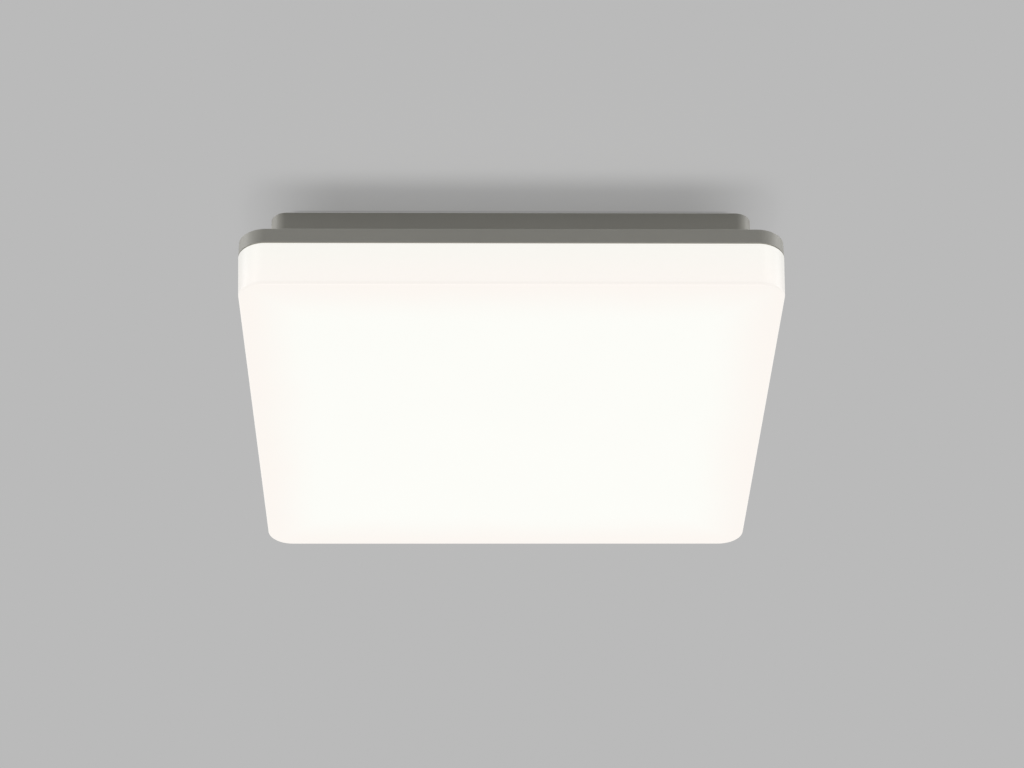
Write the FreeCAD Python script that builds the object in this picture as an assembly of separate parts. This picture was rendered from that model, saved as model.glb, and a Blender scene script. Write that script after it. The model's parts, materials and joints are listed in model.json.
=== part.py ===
import FreeCAD, Part

"""Square flush mount ceiling light with a clip-on opal diffuser.

Millimetres, +Z up. The origin is the centre of the face that lies against the ceiling, so
the light hangs from z = 0 down to z = -TOTAL_DEPTH.
"""

import math
import os

from FreeCAD import Vector

# ---------------------------------------------------------------- driving dimensions
SIDE = 300.0                 # outer side of the rim and of the diffuser
TOTAL_DEPTH = 58.0           # ceiling face to the diffuser's lit face
RIM_CORNER = 15.8            # corner radius of the rim and the diffuser's shoulder in plan

BOX_SIDE = 267.0             # back box against the ceiling
BOX_CORNER = 9.0
BOX_DEPTH = 22.4
BACK_WALL = 2.4
HOUSING_WALL = 2.2
SKIRT_DEPTH = 9.1            # rim height below the box
OUTER_CHAMFER = 0.6
REVEAL = 0.5                 # shadow gap between rim and diffuser

DIFFUSER_WALL = 2.0
DIFFUSER_DRAFT = 1.05        # each side leans in this much over the diffuser's depth
DIFFUSER_EDGE = 1.8          # rounding of the lit face's edge
NECK_GAP = 1.0               # neck to skirt
NECK_WALL = 1.8
NECK_RISE = 5.0              # neck above the shoulder
SHOULDER = 2.0
CATCH_LENGTH = 38.0
CATCH_REACH = 1.2
CATCH_HEIGHT = 1.4
CATCH_DROP = 0.4             # catch ribs below the neck's top
CATCH_BEVELS = (0.5, 0.3)    # on the rib's upper and lower inner edges

GASKET_WIDTH = 2.8
GASKET_SKIRT_GAP = 0.4
GASKET_NECK_GAP = 0.2

FIXING_PITCH = 230.0         # ceiling screw slots, centre to centre both ways
SLOT_LENGTH = 12.0
SLOT_WIDTH = 5.0
FIXING_PAD = (26.0, 18.0, 2.0)   # length, width, rise
SEAL_SIZE = (20.0, 12.0, 1.6)
SEAL_SLOT_MARGIN = 0.3

GROMMET_X = -32.0
GROMMET_BORE = 4.5
GROMMET_NECK = 6.5
GROMMET_FLANGE = 9.0
GROMMET_RECESS = 2.2
GROMMET_SLEEVE = 7.6
GROMMET_TIP = 12.5           # depth of the sleeve's end below the ceiling face
GROMMET_FLANGE_THICK = 1.6
GROMMET_FLANGE_PLAY = 0.5
GROMMET_CUP = 3.0            # thickened wall beyond the flange

TRAY_SIDE = 258.0
TRAY_SHEET = 1.0
TRAY_TURNUP = 6.0
TRAY_CORNER_CUT = 43.0       # leg of the cut corners that clear the ceiling screws
TRAY_TURNUP_GAP = 4.0        # turned-up sides end this far from the cut corners
TRAY_BOSS_PLACE = 121.0
BOSS_WEB_DROP = 1.0          # boss webs end this far above the turned-up sides
BOSS_RADIUS = 4.0
PILOT_RADIUS = 1.3
TRAY_PILOT_DEPTH = 12.0
CLIP_PILOT_DEPTH = 3.0
TERMINAL_PILOT_DEPTH = 4.0
DRIVER_PILOT_DEPTH = 2.4
CLEARANCE_RADIUS = 1.8       # holes that the small screws pass through
SCREW_PLAY = 0.05
WINDOW_X = (-55.0, 50.0)
WINDOW_Y = 13.0
WINDOW_CORNER = 4.0

RIB = 1.6
RIB_DEPTH = 6.0
RIB_ROWS = (-45.0, -85.0)
RIB_COLUMNS = (-90.0, 90.0)

BOARD_ROWS = 6
BOARD_PITCH = 40.0
BOARD_SIZE = (200.0, 10.0, 1.0)
CHIPS_PER_BOARD = 10
CHIP_PITCH = 19.0
CHIP_SIZE = (3.5, 2.8, 0.7)
CONNECTOR_SIZE = (7.0, 6.0, 3.0)
CONNECTOR_INSET = 1.0
CONNECTOR_SLOT = (3.0, 3.8, 2.2)
LED_LEAD_SPREAD = 0.9        # each LED lead from its connector's centre line
JUMPER_SIZE = (3.0, 1.4)
JUMPER_REACH = 9.0
JUMPER_BEND = 4.0

DRIVER_Y = 72.0
DRIVER_SIZE = (116.0, 38.0, 18.0)
DRIVER_WALL = 1.5
DRIVER_STAND = 1.0           # pads that hold the driver off the back wall
DRIVER_EAR = 10.0            # length and width of the screw ears
DRIVER_PAD = 8.0             # side of the pads under them
LID_STEP = 1.0
DRIVER_BOARD_MARGIN = 1.0    # board to the case's walls
COMPONENT_CLEARANCE = 2.0    # tallest parts to the lid
TRANSFORMER = ((-3.0, 15.0), (-8.0, 8.0))    # X and Y spans about the driver's centre
CHOKE = ((-42.0, -30.0), (2.0, 12.0))
CHOKE_SHORTER = 1.0
CAPACITOR_RADIUS = 4.0
CAPACITORS = ((-18.0, 9.0), (32.0, -9.0))
DRIVER_BOARD_DEPTH = 3.0     # board below the inside of the case's base
DRIVER_BOARD = 1.6
DRIVER_LEAD_OFFSET = 3.0
LEAD_HOLE_MARGIN = 0.2
DRIVER_LEAD_GRIP = 4.0       # leads reach this far into the case

TERMINAL_X = 21.0
TERMINAL_SIZE = (22.0, 25.0, 13.0)
TERMINAL_STAND = 5.6         # pillar between the back wall and the terminal
PILLAR_BAR = (6.0, 18.0)
PILLAR_WEB = (9.0, 2.0)      # reach before the terminal's centre, thickness
TERMINAL_BEVEL = 0.8
TERMINAL_SCREW_PLACE = (26.0, 3.75)
SCREW_WELL = 3.1
TERMINAL_SINK = 2.2          # screw head's seat above the terminal's face
TERMINAL_LEAD_DEPTH = 5.0
WIRE_ENTRY = ((1.2, 2.6), (8.0, 1.5))    # depth and half width of each step
POLE_PITCH = 7.5
BUTTON_PLACE = 5.0           # button centres from the wire entries
BUTTON_SIZE = (5.0, 4.0)
BUTTON_SLOT = (3.0, 0.8, 0.6)
BUTTON_SPARE = 0.4           # well left above a button pushed home
CONTACT = (1.0, 2.0)         # thickness, side
CONTACT_GAP = 0.4            # contact to the lead's end
BUTTON_PROUD = 1.5
BUTTON_TRAVEL = 1.2
BUTTON_SINK = 5.0
RUNNING_GAP = 0.15

MAINS_LEAD = 2.2             # across the insulation
LED_LEAD = 1.6
LEAD_LEVEL = -14.0
LIVE_REACH = 66.0            # X at which each mains lead turns towards the driver
NEUTRAL_REACH = 71.0
BUSH_PLACE = (-112.0, DRIVER_Y)
BUSH_HOLE = (9.0, 12.4)      # rectangular hole in the tray
LED_LEAD_DROOP = -32.5       # level to which the LED leads droop under the tray
BUSH_WALL = 1.0
BUSH_FLANGE = 1.5
BUSH_LEAD_OFFSET = 1.6

EARTH_PLACE = (48.0, -40.0)
TAG_THICKNESS = 0.8
TAG_SIZE = (8.0, 13.0)
TAG_HOLE = 2.1
TAG_BARREL = 4.0
EARTH_LEAD_RUN = 11.0        # lead's level run before the tag
EARTH_LEAD_RISE = 0.75       # lead's axis above the tag, as a share of its thickness
EARTH_SCREW_PLAY = 0.2

CLIP_SHEET = 0.5
CLIP_WIDTH = 22.0
CLIP_BOSS_PLACE = 138.0
CLIP_PAD = (7.6, 24.0, 1.6)
CLIP_HEEL = 3.8              # foot inside the screw
CLIP_TOE = 2.6               # foot short of the nose
CLIP_NOSE_GAP = 0.6          # nose to the neck
CLIP_BENDS = ((2.2, -0.5), (0.0, 1.3), (0.3, 2.0), (2.4, 4.0))   # in from nose, below rib

CLIP_SCREW = (2.8, 1.6, 3.0)     # head radius, head height, shank
TRAY_SCREW = (3.4, 2.2, 9.0)
DRIVER_SCREW = (2.8, 1.8, 3.0)
TERMINAL_SCREW = (2.8, 1.8, 14.3)
EARTH_SCREW = (3.6, 2.2, 6.0)
SCREW_HEAD_SIDES = 12
BOSS_SIDES = 12
SCREW_SHANK_SIDES = 6

# ---------------------------------------------------------------- levels worked out from them
FLANGE_UNDERSIDE = -(BOX_DEPTH + HOUSING_WALL)
RIM_EDGE = -(BOX_DEPTH + SKIRT_DEPTH)
SHOULDER_TOP = RIM_EDGE - REVEAL
NECK_TOP = SHOULDER_TOP + NECK_RISE
FACE = -TOTAL_DEPTH
BOX_INSIDE = BOX_SIDE / 2 - HOUSING_WALL
SKIRT_INSIDE = SIDE / 2 - HOUSING_WALL
NECK_OUTSIDE = SKIRT_INSIDE - NECK_GAP
NECK_INSIDE = NECK_OUTSIDE - NECK_WALL
TRAY_TOP = FLANGE_UNDERSIDE
TRAY_UNDERSIDE = TRAY_TOP - TRAY_SHEET
BOARD_FACE = TRAY_UNDERSIDE - BOARD_SIZE[2]
CONNECTOR_AXIS = BOARD_FACE - CONNECTOR_SIZE[2] / 2
DRIVER_TOP = -(BACK_WALL + DRIVER_STAND)
TERMINAL_TOP = -(BACK_WALL + TERMINAL_STAND)
TERMINAL_FACE = TERMINAL_TOP - TERMINAL_SIZE[2]
CLIP_FOOT = FLANGE_UNDERSIDE - CLIP_PAD[2]
CATCH_TOP = NECK_TOP - CATCH_DROP
PAST = 1.0                   # cutting tools reach this far past what they cut
TINY = 0.01


# ---------------------------------------------------------------- shape helpers
def rounded_outline(width, depth, radius, z, x=0.0, y=0.0):
    """Closed wire: a rectangle with round corners, centred on x, y at height z."""
    along, across = width / 2 - radius, depth / 2 - radius
    slant = radius * math.sqrt(0.5)
    arcs = []
    for i, (sx, sy) in enumerate(((1, 1), (-1, 1), (-1, -1), (1, -1))):
        centre = Vector(x + sx * along, y + sy * across, z)
        beside = centre + Vector(sx * radius, 0, 0)
        middle = centre + Vector(sx * slant, sy * slant, 0)
        beyond = centre + Vector(0, sy * radius, 0)
        arcs.append((beside, middle, beyond) if i % 2 == 0 else (beyond, middle, beside))
    edges = []
    for arc, following in zip(arcs, arcs[1:] + arcs[:1]):
        edges.append(Part.Arc(*arc).toShape())
        if arc[2].distanceToPoint(following[0]) > TINY:
            edges.append(Part.LineSegment(arc[2], following[0]).toShape())
    return Part.Wire(edges)


def rounded_block(width, depth, radius, top, bottom, x=0.0, y=0.0):
    """Upright solid with a rounded rectangular outline."""
    face = Part.Face(rounded_outline(width, depth, radius, top, x, y))
    return face.extrude(Vector(0, 0, bottom - top))


def block(x0, x1, y0, y1, z0, z1):
    """Plain box between two corners, given in rising order."""
    return Part.makeBox(x1 - x0, y1 - y0, z1 - z0, Vector(x0, y0, z0))


def post(radius, top, bottom, x, y):
    """Upright round post from top down to bottom."""
    return Part.makeCylinder(radius, top - bottom, Vector(x, y, bottom))


def prism(sides, radius, top, bottom, x, y):
    """Upright regular prism whose corners lie on a circle of that radius."""
    ring = [Vector(x + radius * math.cos(2 * math.pi * i / sides),
                   y + radius * math.sin(2 * math.pi * i / sides), bottom)
            for i in range(sides + 1)]
    return Part.Face(Part.makePolygon(ring)).extrude(Vector(0, 0, top - bottom))


def pilot(top, bottom, x, y):
    """Cutting tool for a screw's pilot hole."""
    return prism(SCREW_SHANK_SIDES, PILOT_RADIUS, top, bottom, x, y)


def clearance_hole(top, bottom, x, y):
    """Cutting tool for a hole that a small screw passes through."""
    return prism(SCREW_HEAD_SIDES, CLEARANCE_RADIUS, top, bottom, x, y)


def slot_block(length, width, top, bottom, x, y):
    """Upright solid with full round ends, long way along X."""
    return rounded_block(length, width, width / 2, top, bottom, x, y)


def faceted_slot(length, width, top, bottom, x, y):
    """Cutting tools for a slot along X whose ends are half of a twelve-sided round."""
    reach, half = (length - width) / 2, width / 2
    ends = [prism(SCREW_HEAD_SIDES, half, top, bottom, x + side * reach, y)
            for side in (-1, 1)]
    return ends + [block(x - reach, x + reach, y - half, y + half, bottom, top)]


def revolved(profile, x, y):
    """Solid of revolution about the vertical through x, y from (radius, z) points."""
    points = [Vector(x + r, y, z) for r, z in profile]
    face = Part.Face(Part.makePolygon(points + points[:1]))
    return face.revolve(Vector(x, y, 0), Vector(0, 0, 1), 360)


def turned(shape, quarter_turns):
    """Copy of a shape turned about the light's own vertical axis."""
    copy = shape.copy()
    copy.rotate(Vector(0, 0, 0), Vector(0, 0, 1), 90 * quarter_turns)
    return copy


def drafted_block(half, corner, draft, top, bottom):
    """Upright block with round corners whose sides all lean in by one draft."""
    centre, low_half = half - corner, half - draft
    profile = [(-half, top), (half, top), (low_half, bottom), (-low_half, bottom)]
    outline = [Vector(x, -centre, z) for x, z in profile]
    slab = Part.Face(Part.makePolygon(outline + outline[:1])).extrude(Vector(0, 2 * centre, 0))
    cones = [Part.makeCone(corner - draft, corner, top - bottom, Vector(x, y, bottom))
             for x, y in corner_places(2 * centre)]
    return slab.fuse([turned(slab, 1)] + cones).removeSplitter()


def horizontal_edges(shape, z, beyond):
    """Edges that lie at height z and reach further out than beyond."""
    found = []
    for edge in shape.Edges:
        box = edge.BoundBox
        reach = max(abs(box.XMin), abs(box.XMax), abs(box.YMin), abs(box.YMax))
        if abs(box.ZMin - z) < TINY and abs(box.ZMax - z) < TINY and reach > beyond:
            found.append(edge)
    return found


def bent_strip(points, thickness, width):
    """Sheet strip of one thickness, folded along (x, z) centre points, centred on y = 0."""
    sides = ([], [])
    for i, (px, pz) in enumerate(points):
        before = points[max(i - 1, 0)]
        after = points[min(i + 1, len(points) - 1)]
        a = math.atan2(pz - before[1], px - before[0]) if i else None
        b = math.atan2(after[1] - pz, after[0] - px) if i < len(points) - 1 else None
        a = b if a is None else a
        b = a if b is None else b
        mean = math.atan2(math.sin(a) + math.sin(b), math.cos(a) + math.cos(b))
        reach = thickness / 2 / math.cos((b - a) / 2)
        for side, sign in zip(sides, (1, -1)):
            side.append(Vector(px - sign * reach * math.sin(mean), -width / 2,
                               pz + sign * reach * math.cos(mean)))
    outline = sides[0] + sides[1][::-1]
    face = Part.Face(Part.makePolygon(outline + outline[:1]))
    return face.extrude(Vector(0, width, 0))


def lead_path(points, radius=None):
    """Wire of straight runs joined by tangent arcs; also returns the least radius used."""
    edges = []
    start = points[0]
    least = math.inf
    for before, corner, after in zip(points, points[1:], points[2:]):
        run_in, run_out = corner - before, after - corner
        half = run_in.getAngle(run_out) / 2
        bend = radius or 0.45 * min(run_in.Length, run_out.Length) / math.tan(half)
        least = min(least, bend)
        reach = bend * math.tan(half)
        u, v = run_in.normalize(), run_out.normalize()
        arc_start, arc_end = corner - u * reach, corner + v * reach
        inward = (v - u).normalize()
        middle = corner + inward * (bend / math.cos(half) - bend)
        edges.append(Part.LineSegment(start, arc_start).toShape())
        edges.append(Part.Arc(arc_start, middle, arc_end).toShape())
        start = arc_end
    edges.append(Part.LineSegment(start, points[-1]).toShape())
    return Part.Wire(edges), least


def swept(name, section, path, least):
    """Sweep a flat section along a path and print how its volume compares."""
    shape = path.makePipeShell([section], True, False)
    expected = Part.Face(section).Area * path.Length
    print(f"{name}: length {path.Length:.1f}, least bend {least:.1f}, "
          f"volume {shape.Volume / expected:.4f} of section x length")
    return shape


def lead(name, width, *places):
    """Insulated lead of that width, whose ends are square to X where they start."""
    points = [Vector(*place) for place in places]
    path, least = lead_path(points)
    half = width / 2
    corners = [(half, half), (-half, half), (-half, -half), (half, -half), (half, half)]
    section = [points[0] + Vector(0, across, up) for across, up in corners]
    return swept(name, Part.makePolygon(section), path, least)


def screw(x, y, seat, size, shank_radius=PILOT_RADIUS - SCREW_PLAY):
    """Pan screw driven upwards: head below the seat, shank above it."""
    head_radius, head_height, shank_length = size
    head = prism(SCREW_HEAD_SIDES, head_radius, seat, seat - head_height, x, y)
    shank = prism(SCREW_SHANK_SIDES, shank_radius, seat + shank_length, seat, x, y)
    return head.fuse(shank)


def corner_places(pitch):
    """The four corners of a square of that pitch."""
    return [(sx * pitch / 2, sy * pitch / 2) for sx in (-1, 1) for sy in (-1, 1)]


def side_places(reach):
    """The middles of the four sides, in quarter turns from +X."""
    return [(reach, 0), (0, reach), (-reach, 0), (0, -reach)]


# ---------------------------------------------------------------- housing and seals
def housing():
    """Moulded shell: back box, flange and skirt, with bosses, pads and ribs inside."""
    box = rounded_block(BOX_SIDE, BOX_SIDE, BOX_CORNER, 0, -BOX_DEPTH)
    rim = rounded_block(SIDE, SIDE, RIM_CORNER, -BOX_DEPTH, RIM_EDGE)
    shell = box.fuse(rim).removeSplitter()
    soft = horizontal_edges(shell, 0, 0) + horizontal_edges(shell, -BOX_DEPTH, SIDE / 2 - 1)
    shell = shell.makeChamfer(OUTER_CHAMFER, soft)
    inner = 2 * BOX_INSIDE
    shell = shell.cut(rounded_block(inner, inner, BOX_CORNER - HOUSING_WALL,
                                    -BACK_WALL, RIM_EDGE))
    shell = shell.cut(rounded_block(2 * SKIRT_INSIDE, 2 * SKIRT_INSIDE,
                                    RIM_CORNER - HOUSING_WALL, FLANGE_UNDERSIDE, RIM_EDGE))
    additions = floor_ribs() + tray_bosses() + fixing_pads() + clip_pads()
    additions += [grommet_cup(), terminal_pillar()] + driver_pads()
    shell = shell.fuse(additions).removeSplitter()
    return shell.cut(housing_holes())


def floor_ribs():
    """Low stiffening ribs on the inside of the back wall, clear of driver and terminal."""
    low, high = -BACK_WALL - RIB_DEPTH, -BACK_WALL
    half = RIB / 2
    across = [block(-BOX_INSIDE, BOX_INSIDE, y - half, y + half, low, high)
              for y in RIB_ROWS]
    along = [block(x - half, x + half, -BOX_INSIDE, BOX_INSIDE, low, high)
             for x in RIB_COLUMNS]
    return across + along


def tray_bosses():
    """Screw bosses at the middles of the sides, each tied to its wall by a web."""
    web = block(TRAY_BOSS_PLACE, BOX_INSIDE, -RIB / 2, RIB / 2,
                TRAY_TOP + TRAY_TURNUP + BOSS_WEB_DROP, -BACK_WALL)
    boss = prism(BOSS_SIDES, BOSS_RADIUS, -BACK_WALL, TRAY_TOP, TRAY_BOSS_PLACE, 0)
    return [turned(boss.fuse(web), i) for i in range(4)]


def fixing_pads():
    """Raised pads round the four ceiling screw slots."""
    length, width, rise = FIXING_PAD
    return [block(x - length / 2, x + length / 2, y - width / 2, y + width / 2,
                  -BACK_WALL - rise, -BACK_WALL) for x, y in corner_places(FIXING_PITCH)]


def clip_pads():
    """Short pads under the flange that carry the spring clips and keep them square."""
    length, width, _ = CLIP_PAD
    pad = block(CLIP_BOSS_PLACE - length / 2, CLIP_BOSS_PLACE + length / 2,
                -width / 2, width / 2, CLIP_FOOT, FLANGE_UNDERSIDE)
    return [turned(pad, i) for i in range(4)]


def grommet_cup():
    """Thickened back wall round the cable entry, recessed from the ceiling."""
    return post(GROMMET_FLANGE + GROMMET_CUP, -BACK_WALL, -BACK_WALL - GROMMET_RECESS,
                GROMMET_X, 0)


def terminal_pillar():
    """T-shaped pillar that carries the mains terminal, with its screw boss in the bar."""
    x, _ = TERMINAL_SCREW_PLACE
    half_x, half_y = PILLAR_BAR[0] / 2, PILLAR_BAR[1] / 2
    reach, half_web = PILLAR_WEB[0], PILLAR_WEB[1] / 2
    bar = block(x - half_x, x + half_x, -half_y, half_y, TERMINAL_TOP, -BACK_WALL)
    return bar.fuse(block(TERMINAL_X - reach, x, -half_web, half_web,
                          TERMINAL_TOP, -BACK_WALL))


def driver_pads():
    """Screw pads under the driver's two ears."""
    half = DRIVER_PAD / 2
    return [block(x - half, x + half, DRIVER_Y - half, DRIVER_Y + half, DRIVER_TOP, -BACK_WALL)
            for x in driver_screw_places()]


def housing_holes():
    """Everything that is cut through or into the moulding, as one tool."""
    deep = -BACK_WALL - FIXING_PAD[2]
    holes = [slot_block(SLOT_LENGTH, SLOT_WIDTH, PAST, deep - PAST, x, y)
             for x, y in corner_places(FIXING_PITCH)]
    holes.append(post(GROMMET_FLANGE + GROMMET_FLANGE_PLAY, PAST, -GROMMET_RECESS,
                      GROMMET_X, 0))
    holes.append(post(GROMMET_NECK, PAST, -BACK_WALL - GROMMET_RECESS - PAST, GROMMET_X, 0))
    holes += [pilot(TRAY_TOP + TRAY_PILOT_DEPTH, TRAY_TOP - PAST, x, y)
              for x, y in side_places(TRAY_BOSS_PLACE)]
    holes += [pilot(CLIP_FOOT + CLIP_PILOT_DEPTH, CLIP_FOOT - PAST, x, y)
              for x, y in side_places(CLIP_BOSS_PLACE)]
    holes.append(pilot(TERMINAL_TOP + TERMINAL_PILOT_DEPTH, TERMINAL_TOP - PAST,
                       *TERMINAL_SCREW_PLACE))
    holes += [pilot(DRIVER_TOP + DRIVER_PILOT_DEPTH, DRIVER_TOP - PAST, x, DRIVER_Y)
              for x in driver_screw_places()]
    return Part.makeCompound(holes)


def screw_seals():
    """Rubber seals that lie on the fixing pads under the ceiling screws' heads."""
    length, width, thick = SEAL_SIZE
    top = -BACK_WALL - FIXING_PAD[2]
    seals = []
    for x, y in corner_places(FIXING_PITCH):
        pad = block(x - length / 2, x + length / 2, y - width / 2, y + width / 2,
                    top - thick, top)
        seals.append(pad.cut(faceted_slot(SLOT_LENGTH + SEAL_SLOT_MARGIN,
                                          SLOT_WIDTH + SEAL_SLOT_MARGIN,
                                          top + PAST, top - thick - PAST, x, y)))
    return seals


def cable_grommet():
    """Rubber grommet with a groove that holds the back wall, and a sleeve."""
    wall_top, wall_low = -GROMMET_RECESS, -BACK_WALL - GROMMET_RECESS
    top = wall_top + GROMMET_FLANGE_THICK
    profile = [(GROMMET_BORE, top), (GROMMET_FLANGE, top),
               (GROMMET_FLANGE, wall_top), (GROMMET_NECK, wall_top),
               (GROMMET_NECK, wall_low), (GROMMET_SLEEVE, wall_low),
               (GROMMET_SLEEVE, -GROMMET_TIP), (GROMMET_BORE, -GROMMET_TIP)]
    return revolved(profile, GROMMET_X, 0)


def rim_gasket():
    """Foam ring under the flange that the diffuser's neck closes against."""
    outer = SKIRT_INSIDE - GASKET_SKIRT_GAP
    inner = outer - GASKET_WIDTH
    corner = RIM_CORNER - HOUSING_WALL - GASKET_SKIRT_GAP
    low = NECK_TOP + GASKET_NECK_GAP
    ring = rounded_block(2 * outer, 2 * outer, corner, FLANGE_UNDERSIDE, low)
    return ring.cut(rounded_block(2 * inner, 2 * inner, corner - GASKET_WIDTH,
                                  FLANGE_UNDERSIDE, low))


# ---------------------------------------------------------------- diffuser and its clips
def diffuser_skin(inset, top, bottom):
    """Tapered body of the diffuser, drawn in by inset, between two heights."""
    slope = DIFFUSER_DRAFT / (SHOULDER_TOP - FACE)
    inset_top = inset + slope * (SHOULDER_TOP - top)
    return drafted_block(SIDE / 2 - inset_top, RIM_CORNER - inset_top,
                         slope * (top - bottom), top, bottom)


def diffuser():
    """Opal bowl with a rounded edge, a stepped neck that rises into the rim, and catches."""
    body = diffuser_skin(0, SHOULDER_TOP, FACE)
    body = body.makeFillet(DIFFUSER_EDGE, horizontal_edges(body, FACE, 0))
    cavity = diffuser_skin(DIFFUSER_WALL, SHOULDER_TOP - SHOULDER, FACE + DIFFUSER_WALL)
    neck_corner = RIM_CORNER - HOUSING_WALL - NECK_GAP
    neck = rounded_block(2 * NECK_OUTSIDE, 2 * NECK_OUTSIDE, neck_corner,
                         NECK_TOP, SHOULDER_TOP)
    throat = rounded_block(2 * NECK_INSIDE, 2 * NECK_INSIDE, neck_corner - NECK_WALL,
                           NECK_TOP, SHOULDER_TOP - SHOULDER)
    shell = body.fuse(neck).cut(throat).cut(cavity)
    return shell.fuse([turned(catch_rib(), i) for i in range(4)]).removeSplitter()


def catch_rib():
    """Tapered rib inside the neck that the spring clip reaches under."""
    low = CATCH_TOP - CATCH_HEIGHT
    high_bevel, low_bevel = CATCH_BEVELS
    out, reach = NECK_INSIDE + NECK_WALL / 2, NECK_INSIDE - CATCH_REACH
    points = [(out, CATCH_TOP), (reach + high_bevel, CATCH_TOP),
              (reach, CATCH_TOP - high_bevel), (reach, low + low_bevel),
              (reach + low_bevel, low), (out, low)]
    outline = [Vector(x, -CATCH_LENGTH / 2, z) for x, z in points]
    face = Part.Face(Part.makePolygon(outline + outline[:1]))
    return face.extrude(Vector(0, CATCH_LENGTH, 0))


def clip_points():
    """Centre line of a spring clip at +X: foot, bend, flank, nose and lead-in."""
    foot = CLIP_FOOT - CLIP_SHEET / 2
    rib_low = CATCH_TOP - CATCH_HEIGHT
    nose = NECK_INSIDE - CLIP_NOSE_GAP
    bends = [(nose - inward, rib_low - below) for inward, below in CLIP_BENDS]
    return [(CLIP_BOSS_PLACE - CLIP_HEEL, foot), (nose - CLIP_TOE, foot)] + bends


def diffuser_clips():
    """Four folded stainless clips, one in the middle of each side."""
    clip = bent_strip(clip_points(), CLIP_SHEET, CLIP_WIDTH)
    clip = clip.cut(clearance_hole(CLIP_FOOT + PAST, CLIP_FOOT - CLIP_SHEET - PAST,
                                   CLIP_BOSS_PLACE, 0))
    return [turned(clip, i) for i in range(4)]


def clip_screws():
    """Screws that hold the clips' feet to their bosses."""
    seat = CLIP_FOOT - CLIP_SHEET
    return [screw(x, y, seat, CLIP_SCREW) for x, y in side_places(CLIP_BOSS_PLACE)]


# ---------------------------------------------------------------- gear tray and LED boards
def tray_outline(half, z):
    """Square with its four corners cut off, as a closed wire."""
    flat = half - TRAY_CORNER_CUT
    points = [(half, flat), (flat, half), (-flat, half), (-half, flat),
              (-half, -flat), (-flat, -half), (flat, -half), (half, -flat)]
    vectors = [Vector(x, y, z) for x, y in points]
    return Part.makePolygon(vectors + vectors[:1])


def gear_tray():
    """Steel tray with turned-up sides, a service window and its screw and lead holes."""
    half = TRAY_SIDE / 2
    tray = Part.Face(tray_outline(half, TRAY_UNDERSIDE)).extrude(Vector(0, 0, TRAY_SHEET))
    flat = half - TRAY_CORNER_CUT - TRAY_TURNUP_GAP
    side = block(half - TRAY_SHEET, half, -flat, flat, TRAY_UNDERSIDE, TRAY_TOP + TRAY_TURNUP)
    tray = tray.fuse([turned(side, i) for i in range(4)]).removeSplitter()
    holes = [window_block()]
    places = side_places(TRAY_BOSS_PLACE)
    over, under = TRAY_TOP + PAST, TRAY_UNDERSIDE - PAST
    holes += [clearance_hole(over, under, x, y) for x, y in places]
    holes.append(bush_block(0, over, under))
    holes.append(prism(SCREW_HEAD_SIDES, TAG_HOLE, over, under, *EARTH_PLACE))
    return tray.cut(holes)


def window_block():
    """The service window over the cable entry and the mains terminal."""
    x0, x1 = WINDOW_X
    return rounded_block(x1 - x0, 2 * WINDOW_Y, WINDOW_CORNER, TRAY_TOP + PAST,
                         TRAY_UNDERSIDE - PAST, (x0 + x1) / 2, 0)


def tray_screws():
    """Screws that hold the tray to the housing's bosses."""
    return [screw(x, y, TRAY_UNDERSIDE, TRAY_SCREW)
            for x, y in side_places(TRAY_BOSS_PLACE)]


def board_row(number):
    """Y of a board's centre line, counted from the +Y side."""
    return ((BOARD_ROWS + 1) / 2 - number) * BOARD_PITCH


def led_board(number):
    """Strip board, bonded to the tray's underside."""
    length, width, _ = BOARD_SIZE
    y = board_row(number)
    return block(-length / 2, length / 2, y - width / 2, y + width / 2,
                 BOARD_FACE, TRAY_UNDERSIDE)


def led_chips(number):
    """Row of LED packages soldered to one board."""
    length, width, thick = CHIP_SIZE
    y = board_row(number)
    chips = []
    for i in range(CHIPS_PER_BOARD):
        x = (i - (CHIPS_PER_BOARD - 1) / 2) * CHIP_PITCH
        chips.append(block(x - length / 2, x + length / 2, y - width / 2, y + width / 2,
                           BOARD_FACE - thick, BOARD_FACE))
    return chips


def connector(end, number):
    """Wire-entry connector on one end of a board; end is -1 or 1 along X."""
    length, width, height = CONNECTOR_SIZE
    deep, mouth_width, mouth_height = CONNECTOR_SLOT
    y = board_row(number)
    outer = BOARD_SIZE[0] / 2 - CONNECTOR_INSET
    x0, x1 = sorted((end * outer, end * (outer - length)))
    body = block(x0, x1, y - width / 2, y + width / 2, BOARD_FACE - height, BOARD_FACE)
    m0, m1 = sorted((end * outer, end * (outer - deep)))
    return body.cut(block(m0, m1, y - mouth_width / 2, y + mouth_width / 2,
                          CONNECTOR_AXIS - mouth_height / 2, CONNECTOR_AXIS + mouth_height / 2))


def jumper_end(number):
    """Which end of the boards the jumper after board number is on: they alternate."""
    return 1 if number % 2 else -1


def board_connectors():
    """Connectors at every used board end: the feed and both ends of each jumper."""
    bodies = [connector(-jumper_end(1), 1)]
    for number in range(1, BOARD_ROWS):
        end = jumper_end(number)
        bodies += [connector(end, number), connector(end, number + 1)]
    return bodies


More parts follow.
